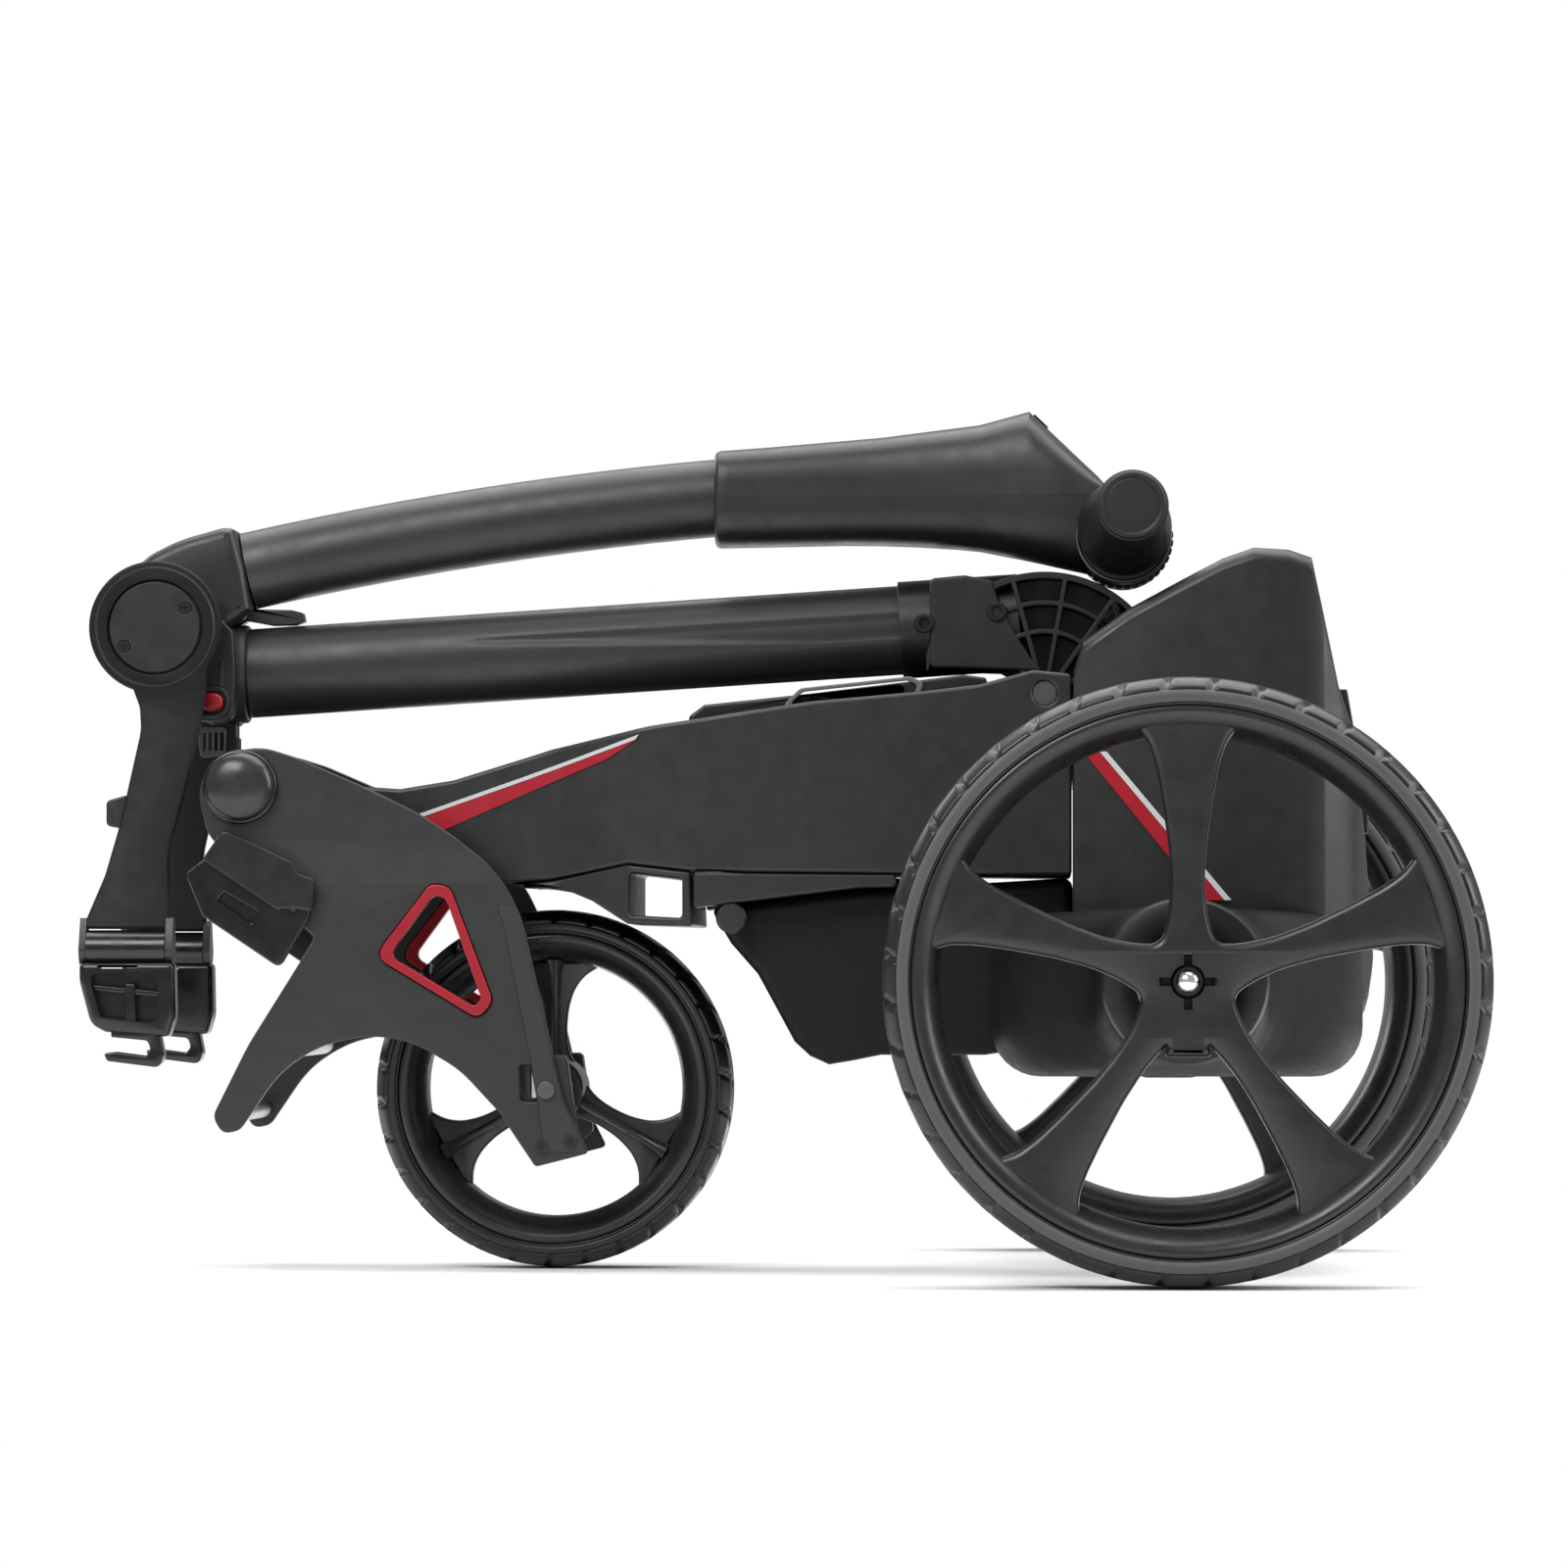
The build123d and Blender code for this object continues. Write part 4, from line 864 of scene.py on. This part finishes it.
def make_arms():
    """Bag arms: a round hub plate that runs smoothly into an arm leaning outwards."""
    node = "bag_arms"
    outline = arc(HUB_X, HUB_Z, 34.6, -38, 251, 64) + curved_side(ARM_LIMB, 20)
    mesh = plate_mesh([outline, arc(HUB_X, HUB_Z, 24.3, 0, 352.5, 47)], -62, -54, 1.5)
    for vertex in mesh.vertices:
        drop = max(0.0, ARM_BEND_Z - vertex.co.z / MM)
        vertex.co.y -= ARM_FLARE * drop * MM
    # painted shade: the arm plates take the darker copy of the shell finish
    finish_pair("arm_plate", mesh, node, "shell_black", (node,), "shaded_shell_black", 35)
    for name, profile in ARM_RINGS:
        finish_pair(name, left_lathe(profile, HUB, 128), node, "shell_black", angle=35)
    for name, low, high in (("arm_lug_front", -353, -349.6), ("arm_lug_back", -308.4, -304.6)):
        section = arc(*CRADLE_PIN, 9.2, 180, 360, 18) + [(-81, 180), (-84, 183), (-90, 183)]
        rings = [[at(x, y, z) for y, z in section] for x in (low, high)]
        finish_pair(name, loft(rings), node, "shell_black", angle=35)
    tab = [(-341.5, 244, 3), (-331, 247), (-331, 229), (-341.5, 231, 3)]
    finish_pair("arm_tab", plate_mesh([filleted(tab, 1)], -75, -67, 1.0), node, "shell_black",
                angle=35)


CRADLE_SIDE = [(-352.6, 160, 3), (-352.4, 150, 20), (-346.5, 128, 10), (-339, 124, 6),
               (-306, 121.5, 3), (-302.8, 132, 20), (-303.4, 160, 3)]
CRADLE_POCKET = [(-346.5, 155, 3), (-346, 148, 10), (-341.5, 131.5, 4), (-313, 128.5, 4),
                 (-311, 140, 10), (-311.6, 155, 3)]
CRADLE_SLIT = [(-343, 156.8), (-322, 156.8), (-322, 158.6), (-343, 158.6)]
CRADLE_POST = [(-329, 149), (-323.5, 149), (-323, 128), (-329, 129)]
CRADLE_LEDGE = [(-346, 148.5), (-311, 145), (-311, 142), (-346, 145.5)]
CRADLE_HOOK = [(-336, 126), (-311, 124), (-308.6, 112, 5), (-311, 105.6, 5), (-338, 109, 2),
               (-340, 113, 2), (-334, 113.8), (-318, 111.6, 2), (-315.4, 114.5, 3),
               (-317, 119.6, 3), (-336, 121.4)]


def make_cradles():
    """Moulded bag cradles: a barrel on the arm, a rounded dish with ribs, and a hook."""
    dish = plate_mesh([filleted(CRADLE_SIDE, 4)], -99, -81, 3.0)
    pocket = prism(filleted(CRADLE_POCKET, 4), -110, -87.5)
    slit = prism(CRADLE_SLIT, -110, -70)
    parts = (
        ("barrel", cylinder_along(at(-329, *CRADLE_PIN), Vector((1, 0, 0)), 9.7, 40.6)),
        ("post", plate_mesh([filleted(CRADLE_POST, 1)], -97, -86, 0.8)),
        ("ledge", plate_mesh([filleted(CRADLE_LEDGE, 1)], -96, -86, 0.8)),
        ("hook", plate_mesh([filleted(CRADLE_HOOK, 1)], -97.5, -84, 1.0)),
    )
    for side in ("left", "right"):
        node = "bag_cradle_" + side
        shell = finish_mesh(node + "_dish", dish.copy(), node, "shell_black", (node,))
        carve(shell, pocket.copy())
        carve(shell, slit.copy())
        if side == "right":
            shell.data = mirrored(shell.data)
        repaint(shell, "gloss_black")
        by_angle(shell, 35)
        for name, mesh in parts:
            whole = mirrored(mesh) if side == "right" else mesh.copy()
            by_angle(finish_mesh(node + "_" + name, whole, node, "shell_black", (),
                                 "gloss_black"), 40)


def make_pivot_caps():
    """Domed satin caps over the fork pivots, each in a dark ring."""
    node = "pivot_caps"
    dome = []
    for step in range(13):
        share = step / 12 * math.pi / 2
        dome.append((0.05 + 17.9 * math.sin(share) ** 0.9, 85.0 + 8.2 * math.cos(share)))
    dome += [(17.9, 84.2), (0.05, 84.2)]
    finish_pair("pivot_dome", left_lathe(dome, PIVOT_CAP), node, "cap_grey", (node,), angle=60)
    ring = [(15.3, 80.15), (15.3, 84.2), (18.3, 84.6), (19.2, 83.8), (19.5, 82.4), (19.2, 80.15)]
    finish_pair("pivot_ring", left_lathe(ring, PIVOT_CAP), node, "shell_black", (), "gloss_black",
                50)


# ---------------- fork and its fittings

FORK_OUTLINE = [(-260, 272, 30), (-241, 266, 60), (-210, 252.6, 200), (-179, 237.9, 200),
                (-161, 226, 80), (-143, 212, 60), (-133, 200, 60), (-124, 181, 60), (-103, 88, 90),
                (-89.7, 61.3, 2.5), (-117.6, 54.2, 2.5), (-137, 83, 40), (-157, 104.5, 60),
                (-181, 118.6, 60), (-203, 122.4, 60), (-228, 117.6, 60), (-250, 104, 60),
                (-271, 73, 8), (-280, 71, 7), (-285.4, 80, 8), (-267, 117, 120), (-232, 173, 4),
                (-262, 200, 6), (-288, 226, 20), (-294, 250, 22), (-283, 268, 22)]
TRIANGLE = [(-172, 201), (-201, 163), (-147, 130.5), (-139.5, 140), (-162, 199)]
TRIANGLE_HOLE = [(-170.5, 195), (-193.5, 163.5), (-149, 137), (-145.5, 141), (-164, 193)]
LEG_WINDOW = [(-126, 107), (-113.5, 107), (-112, 88), (-125, 88)]
# the leg's folded edge from its top down: x of the bend, x of the free edge, z
LEG_FOLD = ((-137, -128, 190), (-133.5, -123.5, 178), (-127, -116.5, 145), (-119.5, -107.5, 108),
            (-116, -103, 88), (-113, -91, 62.5))


def make_fork():
    node = "fork_plates"
    outlines = [filleted(FORK_OUTLINE, 20), filleted(TRIANGLE, 7), filleted(LEG_WINDOW, 2)]
    plates("fork_plate", outlines, -80, -74, 1.1, node, "plate_black", (node,))
    lining = [filleted(TRIANGLE, 7), filleted(TRIANGLE_HOLE, 5)]
    plates("triangle_trim", lining, -82.2, -74, 0.7, node, "accent_red", ("triangle_trims",))
    fold = [[at(x_bend - 0.8, -79.6, z), at(x_bend, -81.1, z), at(x_edge - 0.8, -80.2, z - 1),
             at(x_edge, -78.6, z - 1), at(x_edge - 2, -78.6, z - 1)]
            for x_bend, x_edge, z in LEG_FOLD]
    finish_pair("leg_fold", loft(fold), node, "plate_black", angle=20)
    barrel = cylinder_along(at(-117.5, -76.5, 97.5), Vector((0, 0, 1)), 3.1, 15)
    finish_pair("leg_barrel", barrel, node, "steel_bright", angle=40)
    for name, facing in SIDES:
        nut = cylinder_along(at(-112, facing * 81.8, 94), Vector((0, 1, 0)), 4.6, 2.6)
        soften(finish_mesh("axle_nut_" + name, nut, node, "steel_dark"), 0.5 * MM, 2)


def make_clips():
    """Strap plates, their hooked flaps and the dark web behind the slots."""
    node = "bag_clips"
    base = [(-299, 206), (-278, 222), (-246, 209), (-234, 184), (-250, 157), (-290, 184)]
    hole = [(-282, 192), (-279, 196.5), (-261, 186), (-264.5, 180)]
    plates("clip_plate", [filleted(base, 4), filleted(hole, 1.2)], -86, -80.1, 1.0, node,
           "shell_black", (node,), "gloss_black")
    flap = [(-290, 213, 3), (-279, 229, 4), (-243, 212, 3), (-240, 206, 1.5), (-231, 203, 2),
            (-233, 186, 2), (-244, 188, 1.5), (-251, 187, 3)]
    plates("clip_flap", [filleted(flap, 3)], -90, -86.1, 1.2, node, "shell_black",
           ("clip_flaps",), "battery_black")
    back = [(-294, 200), (-280, 212), (-244, 200), (-240, 186), (-252, 166), (-286, 184)]
    plates("clip_web", [filleted(back, 5)], -82.4, -80.2, 0.5, node, "shell_black", (),
           "gloss_black")
    hinge = cylinder_along(at(-258.5, -85.2, 199.5), Vector((38, 0, -22)), 4.4, 42)
    finish_pair("clip_hinge", hinge, node, "shell_black", angle=40)


# ---------------- shaft fittings

def make_bracket_cheeks():
    """Smooth cheeks that close the bracket up to the ribbed fan, and their screw heads."""
    cheek = [(86, 361.5, 3), (104, 363.2, 8), (119, 360.5, 3), (122, 350, 8), (131, 332, 10),
             (143, 312.5, 2), (118, 313.5, 4), (86, 314.5, 3)]
    plates("bracket_cheek", [filleted(cheek, 3)], -27.6, -23.5, 1.4, "hinge_bracket",
           "shell_black")
    head = [(2.4, 26.0), (2.4, 28.6), (3.0, 29.5), (4.6, 29.5), (5.3, 28.8), (5.3, 26.0)]
    for x, z in ((83, 338), (121, 344)):
        finish_pair("bracket_screw_" + str(x), left_lathe(head, at(x, 0, z), 48), "shaft_screws",
                    "steel_dark", (), "screw_black", 40)


# stations of the sleeve that widens into the clevis: x, half width, middle z, half height
SLEEVE = ((-287.5, 36.3, 311.5, 24.2), (-286, 36.7, 311.6, 25.0), (-283.5, 35.6, 311.8, 25.4),
          (-281, 31.5, 312.2, 25.6), (-278.8, 26.6, 312.6, 25.8), (-276.6, 23.4, 312.8, 25.9),
          (-275.4, 22.2, 312.9, 25.6), (-274.8, 21.2, 313, 24.8))
CLEVIS_FOOT = [(-303, 299), (-302, 289), (-297, 286.5), (-283, 286.3), (-279.6, 290),
               (-278.6, 312), (-280, 334), (-284, 338)]


def make_lower_collar():
    """Clevis on the folding hub, and the flared sleeve that the lower tube enters."""
    node = "lower_collar"
    cheek = arc(HUB_X, HUB_Z, 30, 20, 285, 48) + CLEVIS_FOOT
    plates("clevis_cheek", [cheek], -36, -24.6, 1.4, node, "shell_black", (node,))
    rings = [[at(x, half_w * c, z_mid + half_h * s) for c, s in squircle(72, 0.72)]
             for x, half_w, z_mid, half_h in SLEEVE]
    by_angle(finish_mesh("collar_sleeve", loft(rings), node, "shell_black"), 50)
    bezel = [(-300.2, 288.2), (-281.4, 288.2), (-281.4, 304.8), (-300.2, 304.8)]
    opening = [(-297.4, 290.6), (-283.8, 290.6), (-283.8, 302.4), (-297.4, 302.4)]
    mesh = plate_mesh([filleted(bezel, 7.5), filleted(opening, 5.6)], -38.6, -35.5, 0.8)
    soften(finish_mesh("button_bezel", mesh, node, "shell_black"), 0)


KNUCKLE = [(-297.3, 312, 1), (-293, 330, 12), (-276, 342, 3), (-271.6, 345.5, 3),
           (-275.5, 368, 60), (-281.2, 389, 3), (-287, 389.4, 10), (-310, 383, 80),
           (-330, 373, 40), (-338.7, 358, 1)]
TRIGGER_SLOT = [(-290, 353), (-290, 330), (-266, 330), (-266, 353)]


def make_upper_collar():
    """Smooth knuckle on the hub pin that the upper tube is pressed into."""
    node = "upper_collar"
    outline = arc(HUB_X, HUB_Z, 31, 132, 312, 40) + curved_side(KNUCKLE, 10)
    piece = finish_mesh(node + "_moulded", plate_mesh([outline], -23.6, 23.6, 6.0), node,
                        "shell_black", (node,))
    carve(piece, prism(TRIGGER_SLOT, -7.2, 7.2))
    repaint(piece, "shell_black")
    by_angle(piece, 40)


# stations of the push button: y, share of its full size
BUTTON = ((-33.0, 0.96), (-37.0, 0.98), (-38.4, 0.92), (-39.4, 0.78), (-39.9, 0.5), (-40.0, 0.1))


def make_button():
    """Domed oval push button."""
    node = "release_button"
    rings = [[at(-290.6 + 6.2 * share * c, y, 296.5 + 5.2 * share * s)
              for c, s in squircle(48, 0.8)] for y, share in BUTTON]
    by_angle(finish_mesh(node + "_domed", loft(rings), node, "accent_red", (node,)), 60)


def make_strap_buckle():
    """Ladder buckle at the end of the bag strap."""
    outer = [(-301, 284.5), (-285.6, 284.5), (-286.6, 269.5), (-299.5, 268)]
    slots = []
    for index in range(4):
        x = -298.4 + 3.1 * index
        slots.append(filleted([(x, 281.6), (x + 2.0, 281.6), (x + 1.9, 272), (x, 271.6)], 0.6))
    mesh = plate_mesh([filleted(outer, 3)] + slots, -13.5, -10.5, 0.5)
    soften(finish_mesh("strap_buckle", mesh, "strap_anchor", "grip_rubber", (), "strap_grey"), 0)


def make_hand_hold():
    """Light lip round the hand hold in each long edge of the battery lid."""
    outer = [(8, 291.5), (19, 302.5), (76, 308.6), (84, 305.4), (80, 297.2), (60, 293.4)]
    inner = [(12.5, 293.4), (20.6, 300.6), (74.6, 306.4), (80.4, 304.2), (77.6, 298.8),
             (59, 295.4)]
    plates("hand_hold_lip", [filleted(outer, 5), filleted(inner, 4)], -65.0, -62.6, 0.6,
           "battery_lid", "battery_black", (), "strap_grey")


# ---------------- all pieces

# the CAD nodes of each slot, with the width in millimetres of the rounding along their edges;
# a node with 0 is shown as it is
SLOT_TABLE = {
    "shell_black": {"chassis_shell_left": 2.2, "chassis_shell_right": 2.2, "under_rails": 1.6,
                    "rear_latch_strip": 1.0, "hub_caps": 0.5, "hinge_bracket": 0.5,
                    "release_trigger": 1.2, "axle_carriers": 1.0},
    "battery_black": {"battery_case": 2.0, "battery_lid": 1.6, "battery_plug": 1.0,
                      "controller": 0.5},
    "accent_red": {"stripes_red": 0},
    "accent_white": {"stripes_white": 0},
    "steel_dark": {"fork_screws": 0, "shaft_screws": 0, "pivot_pins": 0, "hub_pin": 0,
                   "front_axle": 0, "handle_pins": 0, "fork_bridge": 0, "motor": 0.8},
    "steel_bright": {"axle_bearings": 0, "front_bearings": 0, "motor_pinion": 0.2},
    "gearbox_alloy": {"gearbox_halves": 0.7},
    "gear_nylon": {"drive_gear": 0.2},
    "tube_graphite": {"upper_tube": 0},
    "screen_glass": {"display_window": 0.25},
    "grip_rubber": {"speed_dial": 0.35, "strap_anchor": 0.5, "power_button": 0.7},
}
SPECIAL_LOOK = {"fork_screws": "screw_black", "shaft_screws": "screw_black"}


def make_rounded_nodes():
    for slot, members in SLOT_TABLE.items():
        for node, width in members.items():
            if width:
                piece = finish_mesh(node + "_finished", clean_copy(node), node, slot, (node,))
                soften(piece, width * MM)
            else:
                repaint(NODES[node], SPECIAL_LOOK.get(node, slot))


# ---------------- studio

AMBIENT = 0.42
FLOOR_RADIUS = 1.5
FLOOR_GAP = 0.0005
SENSOR_WIDTH, LENS = 36.0, 172.3
# lights: name, place, width, height, power
LIGHTS = (("key", (-1.2, -2.3, 2.2), 1.8, 1.2, 62), ("top", (0.2, 0.4, 2.4), 3.2, 2.2, 90),
          ("rim", (2.4, -0.4, 1.2), 0.9, 1.8, 34), ("back", (-2.2, 1.8, 1.4), 1.4, 2.0, 40))


def aimed(item, place, target):
    """Puts an object at a place and turns it to look at a target."""
    item.location = place
    item.rotation_mode = "QUATERNION"
    item.rotation_quaternion = (target - Vector(place)).to_track_quat("-Z", "Y")


def make_floor():
    edge = [(FLOOR_RADIUS * c, FLOOR_RADIUS * s, 0) for c, s in squircle(96)]
    floor = new_object("studio_floor", mesh_of(edge, [tuple(range(96))]))
    floor.location.z = CAD_BOX[0].z - FLOOR_GAP
    floor.visible_diffuse = False
    nodes = Nodes("studio_floor")
    tone = nodes.spread(nodes.noise(3), 0.3, 0.7, 0.0, 1.0)
    nodes.link(nodes.mix(tone, (0.93, 0.93, 0.93), (0.95, 0.95, 0.95)),
               nodes.shader.inputs["Base Color"])
    fill(nodes.shader, {"Roughness": 0.9, "Specular IOR Level": 0.1})
    floor.data.materials.append(nodes.material)


def make_world():
    """White where the camera sees it, a dimmer cool white where it lights the object."""
    world = bpy.data.worlds.new("studio")
    world.use_nodes = True
    bpy.context.scene.world = world
    tree = world.node_tree
    seen, lit = tree.nodes["Background"], tree.nodes.new("ShaderNodeBackground")
    fill(seen, {"Color": (1.0, 1.0, 1.0, 1.0), "Strength": 1.0})
    fill(lit, {"Color": (0.97, 0.985, 1.0, 1.0), "Strength": AMBIENT})
    ray, choose = tree.nodes.new("ShaderNodeLightPath"), tree.nodes.new("ShaderNodeMixShader")
    tree.links.new(ray.outputs["Is Camera Ray"], choose.inputs["Fac"])
    tree.links.new(lit.outputs["Background"], choose.inputs[1])
    tree.links.new(seen.outputs["Background"], choose.inputs[2])
    tree.links.new(choose.outputs["Shader"], tree.nodes["World Output"].inputs["Surface"])


def make_lights():
    aim = (CAD_BOX[0] + CAD_BOX[1]) / 2
    for name, place, width, height, power in LIGHTS:
        data = bpy.data.lights.new(name, "AREA")
        data.shape = "RECTANGLE"
        data.size, data.size_y = width, height
        data.energy = power
        aimed(new_object(name, data), place, aim)


def make_camera():
    data = bpy.data.cameras.new("camera")
    data.sensor_width = SENSOR_WIDTH
    data.lens = LENS
    data.clip_start, data.clip_end = 0.05, 100
    camera = new_object("camera", data)
    aimed(camera, (0.1414, -3.960, 0.150), Vector((0.0023, 0.0, 0.2544)))
    bpy.context.scene.camera = camera


make_rounded_nodes()
for wheel_side in ("left", "right"):
    make_rear_tyre(wheel_side)
    make_barrel("rear_rim_" + wheel_side, REAR_LIP, 31.0)
    make_rear_spokes(wheel_side)
make_front_tyre()
make_barrel("front_rim", FRONT_LIP, 28.0)
make_front_spokes()
make_rear_housing()
make_belly()
make_handle()
make_grips()
make_lower_tube()
make_arms()
make_cradles()
make_upper_collar()
make_lower_collar()
make_pivot_caps()
make_axle()
make_axle_legs()
make_fork()
make_clips()
make_bracket_cheeks()
make_button()
make_strap_buckle()
make_hand_hold()
make_floor()
make_world()
make_lights()
make_camera()

bpy.context.scene.view_settings.view_transform = "Standard"
